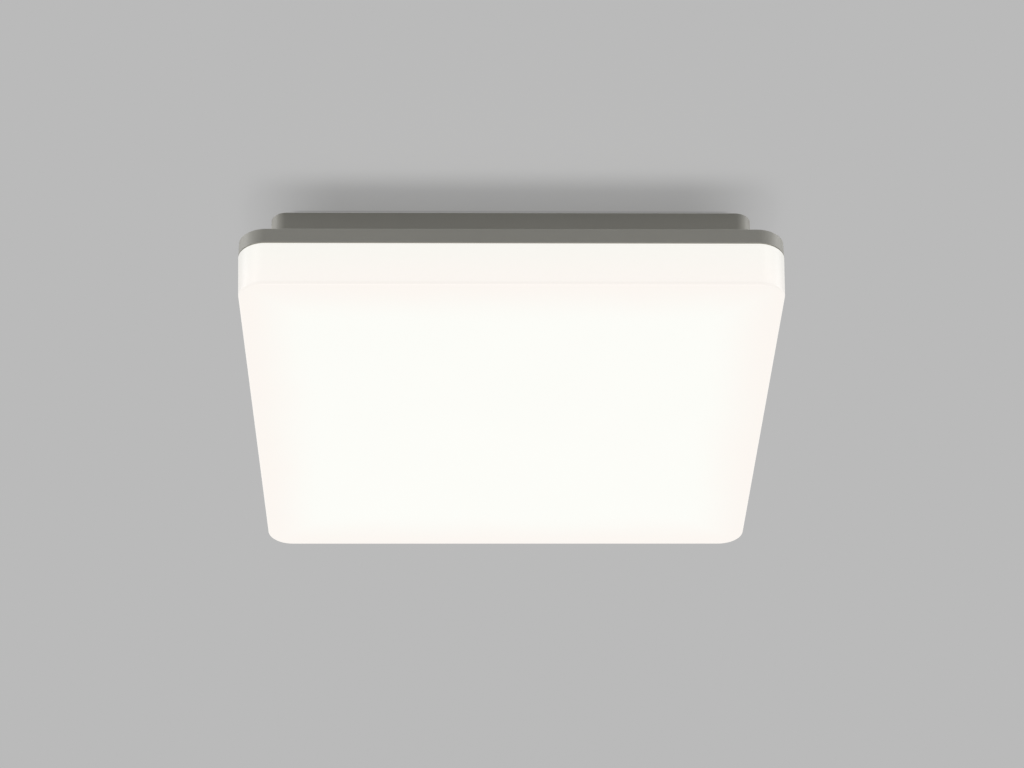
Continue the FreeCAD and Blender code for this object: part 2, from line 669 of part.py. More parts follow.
def jumper(number):
    """Flat twin lead in a U from one board to the next."""
    end = jumper_end(number)
    inner = BOARD_SIZE[0] / 2 - CONNECTOR_INSET - CONNECTOR_SLOT[0]
    outer = BOARD_SIZE[0] / 2 + JUMPER_REACH
    y0, y1 = board_row(number), board_row(number + 1)
    places = [(inner, y0), (outer, y0), (outer, y1), (inner, y1)]
    points = [Vector(end * x, y, CONNECTOR_AXIS) for x, y in places]
    path, least = lead_path(points, JUMPER_BEND)
    half_w, half_t = JUMPER_SIZE[0] / 2, JUMPER_SIZE[1] / 2
    corners = [(half_w, half_t), (-half_w, half_t), (-half_w, -half_t), (half_w, -half_t)]
    section = [points[0] + Vector(0, w, t) for w, t in corners]
    return swept(f"jumper {number}", Part.makePolygon(section + section[:1]), path, least)


# ---------------------------------------------------------------- driver
def driver_screw_places():
    """X of the driver's two screws, through its end ears."""
    reach = DRIVER_SIZE[0] / 2 + DRIVER_EAR / 2
    return (-reach, reach)


def driver_block(inset, low, high):
    """Upright block of the driver's outline, drawn in by inset, between two heights."""
    half_x, half_y = DRIVER_SIZE[0] / 2 - inset, DRIVER_SIZE[1] / 2 - inset
    return block(-half_x, half_x, DRIVER_Y - half_y, DRIVER_Y + half_y, low, high)


def driver_lead_notches():
    """Square lead entries through both end walls, as cutting tools along X."""
    length = DRIVER_SIZE[0] / 2 + PAST
    half = MAINS_LEAD / 2 + LEAD_HOLE_MARGIN
    rows = [DRIVER_Y + sy * DRIVER_LEAD_OFFSET for sy in (-1, 1)]
    return [block(-length, length, y - half, y + half, LEAD_LEVEL - half, LEAD_LEVEL + half)
            for y in rows]


def driver_case():
    """Open moulded case with two screw ears and lead holes in its ends."""
    length, _, height = DRIVER_SIZE
    base = DRIVER_TOP - DRIVER_WALL
    rim = DRIVER_TOP - height + DRIVER_WALL
    shell = driver_block(0, rim, DRIVER_TOP)
    half = length / 2 + DRIVER_EAR
    ears = block(-half, half, DRIVER_Y - DRIVER_EAR / 2, DRIVER_Y + DRIVER_EAR / 2,
                 base, DRIVER_TOP)
    shell = shell.fuse(ears).removeSplitter().cut(driver_block(DRIVER_WALL, rim, base))
    shell = shell.cut(driver_lead_notches())
    return shell.cut([clearance_hole(DRIVER_TOP + PAST, base - PAST, x, DRIVER_Y)
                      for x in driver_screw_places()])


def driver_lid():
    """Lid with a locating step that drops into the case."""
    low = DRIVER_TOP - DRIVER_SIZE[2]
    rim = low + DRIVER_WALL
    step = driver_block(DRIVER_WALL + RUNNING_GAP, rim, rim + LID_STEP)
    return driver_block(0, low, rim).fuse(step).removeSplitter()


def driver_board():
    """Circuit board inside the driver."""
    top = DRIVER_TOP - DRIVER_WALL - DRIVER_BOARD_DEPTH
    return driver_block(DRIVER_WALL + DRIVER_BOARD_MARGIN, top - DRIVER_BOARD, top)


def driver_components():
    """Transformer, choke and capacitors on the driver's board."""
    seat = DRIVER_TOP - DRIVER_WALL - DRIVER_BOARD_DEPTH - DRIVER_BOARD
    low = DRIVER_TOP - DRIVER_SIZE[2] + DRIVER_WALL + COMPONENT_CLEARANCE
    made = []
    for ((x0, x1), (y0, y1)), shorter in ((TRANSFORMER, 0), (CHOKE, CHOKE_SHORTER)):
        made.append(block(x0, x1, DRIVER_Y + y0, DRIVER_Y + y1, low + shorter, seat))
    for x, y in CAPACITORS:
        made.append(prism(SCREW_HEAD_SIDES, CAPACITOR_RADIUS, seat, low, x, DRIVER_Y + y))
    return made


def driver_screws():
    """Screws through the driver's ears into the housing."""
    seat = DRIVER_TOP - DRIVER_WALL
    return [screw(x, DRIVER_Y, seat, DRIVER_SCREW) for x in driver_screw_places()]


# ---------------------------------------------------------------- mains terminal
def pole_rows():
    """Y of the terminal's three poles: live, neutral, earth."""
    return (POLE_PITCH, 0.0, -POLE_PITCH)


def button_centre():
    """X of the release buttons, over the wire entries."""
    return TERMINAL_X - TERMINAL_SIZE[0] / 2 + BUTTON_PLACE


def terminal_body():
    """Push-in terminal: wire funnels, button wells, factory lead holes and a screw hole."""
    length, width, height = TERMINAL_SIZE
    x0, x1 = TERMINAL_X - length / 2, TERMINAL_X + length / 2
    body = block(x0, x1, -width / 2, width / 2, TERMINAL_FACE, TERMINAL_TOP)
    bevel = [edge for edge in body.Edges if edge.BoundBox.ZMax < TERMINAL_FACE + TINY]
    body = body.makeChamfer(TERMINAL_BEVEL, bevel)
    under = TERMINAL_FACE - PAST
    tools = [clearance_hole(TERMINAL_TOP + PAST, under, *TERMINAL_SCREW_PLACE),
             prism(SCREW_HEAD_SIDES, SCREW_WELL, TERMINAL_FACE + TERMINAL_SINK, under,
                   *TERMINAL_SCREW_PLACE)]
    hole = MAINS_LEAD / 2 + LEAD_HOLE_MARGIN
    for y in pole_rows():
        for depth, half in WIRE_ENTRY:
            tools.append(block(x0 - PAST, x0 + depth, y - half, y + half,
                               LEAD_LEVEL - half, LEAD_LEVEL + half))
        tools.append(block(x1 - TERMINAL_LEAD_DEPTH, x1 + PAST, y - hole, y + hole,
                           LEAD_LEVEL - hole, LEAD_LEVEL + hole))
        tools.append(button_block(y, RUNNING_GAP, TERMINAL_FACE + BUTTON_SINK, under))
    return body.cut(tools)


def button_block(y, margin, top, bottom):
    """Upright block of a release button's outline, grown by a margin all round."""
    length, width = BUTTON_SIZE
    half_x, half_y = length / 2 + margin, width / 2 + margin
    return block(button_centre() - half_x, button_centre() + half_x,
                 y - half_y, y + half_y, bottom, top)


def release_button(y):
    """Release button with a screwdriver dimple, sunk in its well with room to travel."""
    top = TERMINAL_FACE + BUTTON_SINK - BUTTON_TRAVEL - BUTTON_SPARE
    low = TERMINAL_FACE - BUTTON_PROUD
    button = button_block(y, 0, top, low)
    half_x, half_y, deep = BUTTON_SLOT[0] / 2, BUTTON_SLOT[1] / 2, BUTTON_SLOT[2]
    return button.cut(block(button_centre() - half_x, button_centre() + half_x,
                            y - half_y, y + half_y, low, low + deep))


def terminal_contacts():
    """Spring-steel clamping contacts at the inner ends of the lead holes."""
    x1 = TERMINAL_X + TERMINAL_SIZE[0] / 2 - TERMINAL_LEAD_DEPTH
    thick, half = CONTACT[0], CONTACT[1] / 2
    return [block(x1, x1 + thick, y - half, y + half, LEAD_LEVEL - half, LEAD_LEVEL + half)
            for y in pole_rows()]


def terminal_screw():
    """Screw that holds the terminal to its pillar, head sunk in the body."""
    return screw(*TERMINAL_SCREW_PLACE, TERMINAL_FACE + TERMINAL_SINK, TERMINAL_SCREW)


# ---------------------------------------------------------------- leads
def pole_lead_start():
    """X at which a factory lead begins, inside the terminal by its contact."""
    inner = TERMINAL_X + TERMINAL_SIZE[0] / 2 - TERMINAL_LEAD_DEPTH
    return inner + CONTACT[0] + CONTACT_GAP


def mains_lead(name, y0, reach, side):
    """Lead from a terminal pole at y0 round to one side of the driver's +X end."""
    y1 = DRIVER_Y + side * DRIVER_LEAD_OFFSET
    return lead(name, MAINS_LEAD, (pole_lead_start(), y0, LEAD_LEVEL),
                (reach, y0, LEAD_LEVEL), (reach, y1, LEAD_LEVEL),
                (DRIVER_SIZE[0] / 2 - DRIVER_LEAD_GRIP, y1, LEAD_LEVEL))


def led_lead(name, side):
    """Lead from the driver's -X end down through the tray bush to the first board."""
    x = BUSH_PLACE[0] + side * BUSH_LEAD_OFFSET
    y = DRIVER_Y + side * DRIVER_LEAD_OFFSET
    board_y = board_row(1) - side * LED_LEAD_SPREAD
    board_x = CONNECTOR_INSET + CONNECTOR_SLOT[0] - BOARD_SIZE[0] / 2
    return lead(name, LED_LEAD, (DRIVER_LEAD_GRIP - DRIVER_SIZE[0] / 2, y, LEAD_LEVEL),
                (x, y, LEAD_LEVEL), (x, y, LED_LEAD_DROOP),
                (x, board_y, CONNECTOR_AXIS), (board_x, board_y, CONNECTOR_AXIS))


def earth_lead():
    """Lead from the earth pole down to the tag on the tray."""
    (x, y), y0 = EARTH_PLACE, pole_rows()[2]
    level = TRAY_TOP + TAG_THICKNESS + EARTH_LEAD_RISE * MAINS_LEAD
    end = y + TAG_SIZE[1] / 2
    return lead("earth lead", MAINS_LEAD, (pole_lead_start(), y0, LEAD_LEVEL),
                (x, y0, LEAD_LEVEL), (x, end + EARTH_LEAD_RUN, level), (x, end, level))


def earth_tag():
    """Flat tag crimped on the earth lead's end."""
    x, y = EARTH_PLACE
    half_x, half_y = TAG_SIZE[0] / 2, TAG_SIZE[1] / 2
    top = TRAY_TOP + TAG_THICKNESS
    tag = block(x - half_x, x + half_x, y - half_x, y + half_y + TAG_BARREL, TRAY_TOP, top)
    return tag.cut(prism(SCREW_HEAD_SIDES, TAG_HOLE, top + PAST, TRAY_TOP - PAST, x, y))


def earth_screw():
    """Earthing screw from below through tray and tag."""
    return screw(*EARTH_PLACE, TRAY_UNDERSIDE, EARTH_SCREW, TAG_HOLE - EARTH_SCREW_PLAY)


def bush_block(grow, top, bottom):
    """Upright block of the lead bush's outline, grown all round."""
    (x, y), (length, width) = BUSH_PLACE, BUSH_HOLE
    half_x, half_y = length / 2 + grow, width / 2 + grow
    return block(x - half_x, x + half_x, y - half_y, y + half_y, bottom, top)


def lead_bush():
    """Rubber bush with a groove for the tray's sheet, round the two LED leads."""
    low = TRAY_UNDERSIDE - BUSH_FLANGE
    high = TRAY_TOP + BUSH_FLANGE
    rings = [bush_block(BUSH_FLANGE, high, TRAY_TOP), bush_block(0, TRAY_TOP, TRAY_UNDERSIDE),
             bush_block(BUSH_FLANGE, TRAY_UNDERSIDE, low)]
    bush = rings[0].fuse(rings[1:]).removeSplitter()
    return bush.cut(bush_block(-BUSH_WALL, high + PAST, low - PAST))


# ---------------------------------------------------------------- all the pieces
def pieces():
    """Every node of the light: name to one shape or a list of separate shapes."""
    made = {
        "housing": housing(),
        "screw_seals": screw_seals(),
        "cable_grommet": cable_grommet(),
        "rim_gasket": rim_gasket(),
        "diffuser": diffuser(),
        "diffuser_clips": diffuser_clips(),
        "clip_screws": clip_screws(),
        "gear_tray": gear_tray(),
        "tray_screws": tray_screws(),
        "board_connectors": board_connectors(),
        "lead_bush": lead_bush(),
        "led_lead_positive": led_lead("positive lead", 1),
        "led_lead_negative": led_lead("negative lead", -1),
        "driver_case": driver_case(),
        "driver_lid": driver_lid(),
        "driver_board": driver_board(),
        "driver_components": driver_components(),
        "driver_screws": driver_screws(),
        "terminal_body": terminal_body(),
        "terminal_contacts": terminal_contacts(),
        "terminal_screw": terminal_screw(),
        "live_lead": mains_lead("live lead", pole_rows()[0], LIVE_REACH, -1),
        "neutral_lead": mains_lead("neutral lead", pole_rows()[1], NEUTRAL_REACH, 1),
        "earth_lead": earth_lead(),
        "earth_tag": earth_tag(),
        "earth_screw": earth_screw(),
    }
    for name, y in zip(("live", "neutral", "earth"), pole_rows()):
        made[f"release_button_{name}"] = release_button(y)
    for number in range(1, BOARD_ROWS + 1):
        made[f"led_board_{number}"] = led_board(number)
        made[f"led_chips_{number}"] = led_chips(number)
    for number in range(1, BOARD_ROWS):
        made[f"jumper_{number}_{number + 1}"] = jumper(number)
    return made


def main():
    """Build every piece, check it and write its file."""
    os.makedirs("parts", exist_ok=True)
    for name, made in pieces().items():
        solids = [solid for shape in (made if isinstance(made, list) else [made])
                  for solid in shape.Solids]
        for solid in solids:
            if not solid.isValid() or solid.Volume <= 0:
                raise ValueError(f"{name} holds a bad solid")
        shape = solids[0] if len(solids) == 1 else Part.makeCompound(solids)
        shape.exportStep(f"parts/{name}.step")
        print(f"{name}: {len(solids)} solid(s), {shape.Volume / 1000:.2f} cm3")


main()
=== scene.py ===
"""Looks of a square flush mount ceiling light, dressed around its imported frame.

Metres, +Z up. The light's back lies against the ceiling at z = 0, its lit face looks down,
and -Y is the side that the camera sees.
"""
import json
import logging
import math
from dataclasses import dataclass, field
from enum import Enum
from typing import Any, Sequence

import bmesh
import bpy
from mathutils import Matrix, Vector

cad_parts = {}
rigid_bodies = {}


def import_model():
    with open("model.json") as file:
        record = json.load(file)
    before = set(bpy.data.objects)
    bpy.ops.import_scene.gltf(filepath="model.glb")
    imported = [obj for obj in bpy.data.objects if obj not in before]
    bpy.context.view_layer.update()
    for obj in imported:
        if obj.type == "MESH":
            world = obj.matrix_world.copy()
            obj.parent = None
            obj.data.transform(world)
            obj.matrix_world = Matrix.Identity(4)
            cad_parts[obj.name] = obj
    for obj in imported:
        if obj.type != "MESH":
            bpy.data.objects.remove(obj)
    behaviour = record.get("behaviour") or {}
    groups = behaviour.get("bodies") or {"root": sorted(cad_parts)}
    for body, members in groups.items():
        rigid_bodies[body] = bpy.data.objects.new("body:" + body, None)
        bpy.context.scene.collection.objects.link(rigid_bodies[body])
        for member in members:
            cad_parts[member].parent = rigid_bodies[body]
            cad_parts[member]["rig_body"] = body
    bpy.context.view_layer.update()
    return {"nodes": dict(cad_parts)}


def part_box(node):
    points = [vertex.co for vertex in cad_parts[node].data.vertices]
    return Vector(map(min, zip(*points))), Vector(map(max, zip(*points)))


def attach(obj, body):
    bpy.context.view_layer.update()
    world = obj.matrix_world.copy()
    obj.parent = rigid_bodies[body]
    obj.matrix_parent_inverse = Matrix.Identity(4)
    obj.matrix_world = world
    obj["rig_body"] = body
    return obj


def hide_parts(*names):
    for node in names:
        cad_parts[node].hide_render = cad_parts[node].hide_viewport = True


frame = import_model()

MM = 0.001
PACKED_GAP = 0.01 * MM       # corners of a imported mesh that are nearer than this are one
OWN_GAP = 0.001 * MM         # the same for the meshes made here
SHARP = math.radians(32)     # edges that turn by more than this stay sharp
QUARTER = math.tau / 4
SIDE_TURNS = tuple(QUARTER * i for i in range(4))
CORNERS = ((1, 1), (-1, 1), (-1, -1), (1, -1))
SMOOTH_ORDER = 3
SMOOTH_STEPS = 10            # points per stretch of a smooth curve
AROUND = "around"            # attribute of the leads: a wave that runs round their section
TURN = "turn"                # attribute of the places: turn about Z

Colour = tuple[float, float, float]
Point = tuple[float, float, float]
Flat = tuple[float, float]

log = logging.getLogger("ceiling_light")


# ---------------------------------------------------------------- nodes
@dataclass
class NodeWork:
    """Adds nodes to one node tree and sets or links their sockets."""

    tree: bpy.types.NodeTree

    def node(self, kind: str, settings: dict[str, Any] | None = None,
             sockets: dict[str | int, Any] | None = None) -> bpy.types.Node:
        """Add one node.

        Args:
            kind: The node's type name.
            settings: Properties of the node, set before its sockets.
            sockets: Value or link of each input, by name, identifier or place.

        Returns:
            The new node.
        """
        made = self.tree.nodes.new(kind)
        for name, value in (settings or {}).items():
            setattr(made, name, value)
        for key, value in (sockets or {}).items():
            entry = self.entry(made.inputs, key)
            value = value.output if isinstance(value, Socket) else value
            if isinstance(value, bpy.types.NodeSocket):
                self.tree.links.new(value, entry)
            else:
                entry.default_value = value
        return made

    @staticmethod
    def entry(sockets: Any, key: str | int) -> bpy.types.NodeSocket:
        """The socket of that identifier, place or name."""
        found = [socket for socket in sockets if socket.identifier == key]
        return found[0] if found else sockets[key]


@dataclass
class Socket:
    """A shader value that Python's own operators work on, by adding Math nodes."""

    work: NodeWork
    output: bpy.types.NodeSocket

    def math(self, operation: str, *others: Any, clamp: bool = False) -> "Socket":
        """Put this value and others through a Math node.

        Args:
            operation: The Math node's operation.
            others: Further operands, numbers or sockets.
            clamp: Whether the result is held between 0 and 1.

        Returns:
            The result.
        """
        made = self.work.node("ShaderNodeMath", {"operation": operation, "use_clamp": clamp},
                              dict(enumerate((self, *others))))
        return Socket(self.work, made.outputs[0])

    def __add__(self, other: Any) -> "Socket":
        """Sum."""
        return self.math("ADD", other)

    def __sub__(self, other: Any) -> "Socket":
        """Difference."""
        return self.math("SUBTRACT", other)

    def __rsub__(self, other: float) -> "Socket":
        """Difference from a number."""
        return self.math("MULTIPLY_ADD", -1.0, other)

    def __mul__(self, other: Any) -> "Socket":
        """Product."""
        return self.math("MULTIPLY", other)

    __radd__ = __add__
    __rmul__ = __mul__

    def __abs__(self) -> "Socket":
        """Size without its sign."""
        return self.math("ABSOLUTE")

    def ramp(self, low: float, high: float) -> "Socket":
        """Rise smoothly from 0 where this value is low to 1 where it is high."""
        made = self.work.node("ShaderNodeMapRange", {"interpolation_type": "SMOOTHSTEP"},
                              {"Value": self, "From Min": low, "From Max": high})
        return Socket(self.work, made.outputs[0])

    def sway(self, by: float) -> "Socket":
        """How far this noise is from its middle, times a factor."""
        return (self - 0.5) * by


@dataclass(frozen=True)
class Layer:
    """One size of soft noise, and how far it sways tone and gloss or lifts the surface."""

    size: float
    tone: float = 0.0
    gloss: float = 0.0
    depth: float = 0.0
    detail: float = 3.0
    stretch: Point = (1.0, 1.0, 1.0)


class Shader(NodeWork):
    """A material's node tree, with the patterns that this light's finishes use."""

    def __init__(self, name: str) -> None:
        """Make an empty material.

        Args:
            name: The material's name.
        """
        self.material = bpy.data.materials.new(name)
        self.material.use_nodes = True
        super().__init__(self.material.node_tree)
        self.tree.nodes.clear()
        self.object_place = self.node("ShaderNodeTexCoord").outputs["Object"]

    def place(self) -> list[Socket]:
        """The piece's own x, y and z in metres."""
        split = self.node("ShaderNodeSeparateXYZ", {}, {0: self.object_place})
        return [Socket(self, output) for output in split.outputs]

    def noise(self, layer: Layer) -> Socket:
        """Soft noise between 0 and 1.

        Args:
            layer: Its size, detail and stretch.

        Returns:
            The noise.
        """
        scale = tuple(1.0 / (layer.size * share) for share in layer.stretch)
        mapped = self.node("ShaderNodeMapping", {"vector_type": "POINT"},
                           {"Vector": self.object_place, "Scale": scale})
        made = self.node("ShaderNodeTexNoise", {}, {"Vector": mapped.outputs[0], "Scale": 1.0,
                                                    "Detail": layer.detail})
        return Socket(self, made.outputs["Fac"])

    def cells(self, size: float) -> Socket:
        """Distance from the middles of random cells of that size."""
        made = self.node("ShaderNodeTexVoronoi", {},
                         {"Vector": self.object_place, "Scale": 1.0 / size})
        return Socket(self, made.outputs["Distance"])

    def attribute(self, name: str) -> Socket:
        """A number that the mesh carries under that name."""
        made = self.node("ShaderNodeAttribute", {"attribute_name": name})
        return Socket(self, made.outputs["Fac"])

    def toned(self, colour: Any, tone: Any) -> bpy.types.NodeSocket:
        """A colour made lighter or darker by a factor."""
        made = self.node("ShaderNodeVectorMath", {"operation": "SCALE"},
                         {0: colour, "Scale": tone})
        return made.outputs[0]

    def mixed(self, factor: Socket, first: Any, second: Any) -> bpy.types.NodeSocket:
        """A colour between two: the first where the factor is 0.

        Args:
            factor: Share of the second colour.
            first: Plain colour or colour output.
            second: Plain colour or colour output.

        Returns:
            The mixed colour.
        """
        ends = [(*end, 1.0) if isinstance(end, tuple) else end for end in (first, second)]
        made = self.node("ShaderNodeMix", {"data_type": "RGBA"},
                         {"Factor_Float": factor, "A_Color": ends[0], "B_Color": ends[1]})
        return self.entry(made.outputs, "Result_Color")

    def bump(self, height: Socket, depth: float) -> bpy.types.NodeSocket:
        """A normal roughened by a height between 0 and 1, that deep."""
        return self.node("ShaderNodeBump", {}, {"Height": height, "Distance": depth}).outputs[0]


# ---------------------------------------------------------------- finishes
@dataclass(frozen=True)
class Finish:
    """A finish: its name, colour and gloss, swayed by layers of noise."""

    name: str
    colour: Colour
    roughness: float

    def layers(self) -> tuple[Layer, ...]:
        """The layers of noise."""
        return ()

    def ground(self, shader: Shader, noises: Sequence[Socket]) -> Any:
        """The colour that the layers' tone lies on."""
        return self.colour

    def further(self, shader: Shader, noises: Sequence[Socket]) -> dict[str, Any]:
        """Further sockets of the surface, or others than the usual ones."""
        return {}

    def paint(self, shader: Shader) -> None:
        """Write the finish into an empty material.

        Args:
            shader: Node work of the material.
        """
        pairs = [(layer, shader.noise(layer)) for layer in self.layers()]
        noises = [noise for _, noise in pairs]
        tones = [noise.sway(layer.tone) for layer, noise in pairs if layer.tone]
        glosses = [noise.sway(layer.gloss) for layer, noise in pairs if layer.gloss]
        sockets = {"Base Color": shader.toned(self.ground(shader, noises), sum(tones, 1.0)),
                   "Roughness": sum(glosses, self.roughness)}
        for layer, noise in pairs:
            if layer.depth:
                sockets["Normal"] = shader.bump(noise, layer.depth)
        made = shader.node("ShaderNodeBsdfPrincipled", {},
                           {**sockets, **self.further(shader, noises)})
        shader.node("ShaderNodeOutputMaterial", {}, {"Surface": made.outputs[0]})

    def material(self) -> bpy.types.Material:
        """The finish as a material, made the first time it is asked for.

        Returns:
            The material.
        """
        if self.name not in bpy.data.materials:
            self.paint(Shader(self.name))
        return bpy.data.materials[self.name]


@dataclass(frozen=True)
class MouldedPlastic(Finish):
    """Moulded plastic: drifting tone, faint rubbed patches and a fine etched grain."""

    grain: float = 0.7 * MM

    def layers(self) -> tuple[Layer, ...]:
        """Drift, patches and grain."""
        return (Layer(70 * MM, tone=0.05), Layer(9 * MM, tone=0.03, gloss=0.16, detail=4.0),
                Layer(self.grain, gloss=0.1, depth=0.03 * MM, detail=2.0))


@dataclass(frozen=True)
class PowderCoat(Finish):
    """Powder-coated sheet: orange-peel skin over an even colour."""

    coat: float = 0.15

    def layers(self) -> tuple[Layer, ...]:
        """Drift, speckle and orange peel."""
        return (Layer(55 * MM, tone=0.05), Layer(0.5 * MM, tone=0.03, detail=1.0),
                Layer(2.2 * MM, gloss=0.2, depth=0.05 * MM, detail=1.0))

    def further(self, shader: Shader, noises: Sequence[Socket]) -> dict[str, Any]:
        """The glossy skin."""
        return {"Coat Weight": self.coat}


@dataclass(frozen=True)
class Rubber(Finish):
    """Soft rubber: matt, with a fine skin and dust in patches."""

    dust: Colour = (0.25, 0.25, 0.24)
    dusty: Flat = (0.55, 0.8)
    most_dust: float = 0.25

    def layers(self) -> tuple[Layer, ...]:
        """Dust and skin."""
        return (Layer(6 * MM, gloss=0.15, detail=5.0),
                Layer(0.4 * MM, depth=0.02 * MM, detail=2.0))

    def ground(self, shader: Shader, noises: Sequence[Socket]) -> Any:
        """Rubber with dust on it."""
        return shader.mixed(noises[0].ramp(*self.dusty) * self.most_dust, self.colour, self.dust)


@dataclass(frozen=True)
class Foam(Finish):
    """Closed-cell foam: small open pores in a pale skin, with painted shade in the pores."""

    pore: float = 0.9 * MM
    pore_edge: float = 0.35
    pore_depth: float = 0.15 * MM
    pore_shade_tone: float = 0.8
    skin_tone: float = 0.25      # added to the pores' painted shade, on the skin
    drift: float = 0.1

    def layers(self) -> tuple[Layer, ...]:
        """Drift, which the pores' painted shade takes in."""
        return (Layer(12 * MM),)

    def hollows(self, shader: Shader) -> Socket:
        """0 in the middle of a pore, 1 on the skin."""
        return shader.cells(self.pore).ramp(0.0, self.pore_edge)

    def ground(self, shader: Shader, noises: Sequence[Socket]) -> Any:
        """Skin with pores painted darker, as painted shade in the hollows."""
        # painted shade: the pores darker than the skin
        tone = self.pore_shade_tone + self.hollows(shader) * self.skin_tone
        return shader.toned(self.colour, tone + noises[0].sway(self.drift))

    def further(self, shader: Shader, noises: Sequence[Socket]) -> dict[str, Any]:
        """Pores sunk into the skin."""
        return {"Normal": shader.bump(self.hollows(shader), self.pore_depth)}


class Grain(Enum):
    """How a metal's brushing runs: the noise's stretch."""

    ALONG_Y = (1.0, 40.0, 1.0)
    NONE = (1.0, 1.0, 1.0)


@dataclass(frozen=True)
class BareMetal(Finish):
    """Rolled, brushed or plated metal, stained in clouds."""

    grain: Grain = Grain.NONE
    stain: Colour = (0.5, 0.48, 0.45)
    stained: Flat = (0.45, 0.8)
    most_stain: float = 0.5

    def layers(self) -> tuple[Layer, ...]:
        """Brush lines and clouds."""
        return (Layer(0.35 * MM, tone=0.16, gloss=0.25, depth=0.01 * MM,
                      stretch=self.grain.value), Layer(4 * MM, gloss=0.1, detail=4.0))

    def ground(self, shader: Shader, noises: Sequence[Socket]) -> Any:
        """Metal with its stains."""
        share = noises[1].ramp(*self.stained) * self.most_stain
        return shader.mixed(share, self.colour, self.stain)

    def further(self, shader: Shader, noises: Sequence[Socket]) -> dict[str, Any]:
        """The metal's shine."""
        return {"Metallic": 1.0}


@dataclass(frozen=True)
class Insulation(Finish):
    """Extruded cable insulation, scuffed, with or without two stripes along it."""

    stripe: Colour | None = None
    stripe_start: float = 0.1

    def layers(self) -> tuple[Layer, ...]:
        """Scuffs."""
        return (Layer(3 * MM, tone=0.2, gloss=0.2, depth=0.03 * MM, detail=4.0),)

    def ground(self, shader: Shader, noises: Sequence[Socket]) -> Any:
        """One colour, or two by turns round the lead.

        Args:
            shader: Node work of the material.
            noises: The layers' noises; not used.

        Returns:
            The colour.
        """
        if self.stripe is None:
            return self.colour
        striped = shader.attribute(AROUND).math("GREATER_THAN", self.stripe_start)
        return shader.mixed(striped, self.colour, self.stripe)


@dataclass(frozen=True)
class SolderMask(Finish):
    """Circuit board lacquer: two copper tracks along X stand faintly under it."""

    track: Colour = (0.8, 0.8, 0.8)
    pitch: float = 40 * MM
    track_place: float = 3.6 * MM
    track_width: float = 0.9 * MM
    track_fade: float = 0.15 * MM
    track_share: float = 0.6
    weave_height: float = 0.15
    relief: float = 0.06 * MM

    def layers(self) -> tuple[Layer, ...]:
        """Drift and the cloth's weave."""
        return Layer(30 * MM, tone=0.06), Layer(0.8 * MM, gloss=0.12, detail=2.0)

    def tracks(self, shader: Shader) -> Socket:
        """The tracks of every board.

        Args:
            shader: Node work of the material.

        Returns:
            1 on a track, 0 beside it.
        """
        _, y, _ = shader.place()
        half = self.pitch / 2
        off = abs(abs((y + half).math("WRAP", half, -half)) - self.track_place)
        return 1.0 - off.ramp(self.track_width, self.track_width + self.track_fade)

    def ground(self, shader: Shader, noises: Sequence[Socket]) -> Any:
        """Lacquer with the tracks under it."""
        return shader.mixed(self.tracks(shader) * self.track_share, self.colour, self.track)

    def further(self, shader: Shader, noises: Sequence[Socket]) -> dict[str, Any]:
        """Tracks and weave in relief."""
        height = self.tracks(shader) + noises[1] * self.weave_height
        return {"Normal": shader.bump(height, self.relief)}


@dataclass(frozen=True)
class Phosphor(Finish):
    """Glowing resin window of an LED package."""

    glow: Colour = (1.0, 0.9, 0.62)
    strength: float = 0.8
    dimmest: float = 0.85        # where the resin is cloudy

    def layers(self) -> tuple[Layer, ...]:
        """Cloudy resin."""
        return (Layer(0.5 * MM, tone=0.2, gloss=0.1, detail=2.0),)

    def further(self, shader: Shader, noises: Sequence[Socket]) -> dict[str, Any]:
        """The resin's light."""
        share = self.dimmest + noises[0] * (1.0 - self.dimmest)
        return {"Emission Color": shader.toned(self.glow, share),
                "Emission Strength": self.strength}


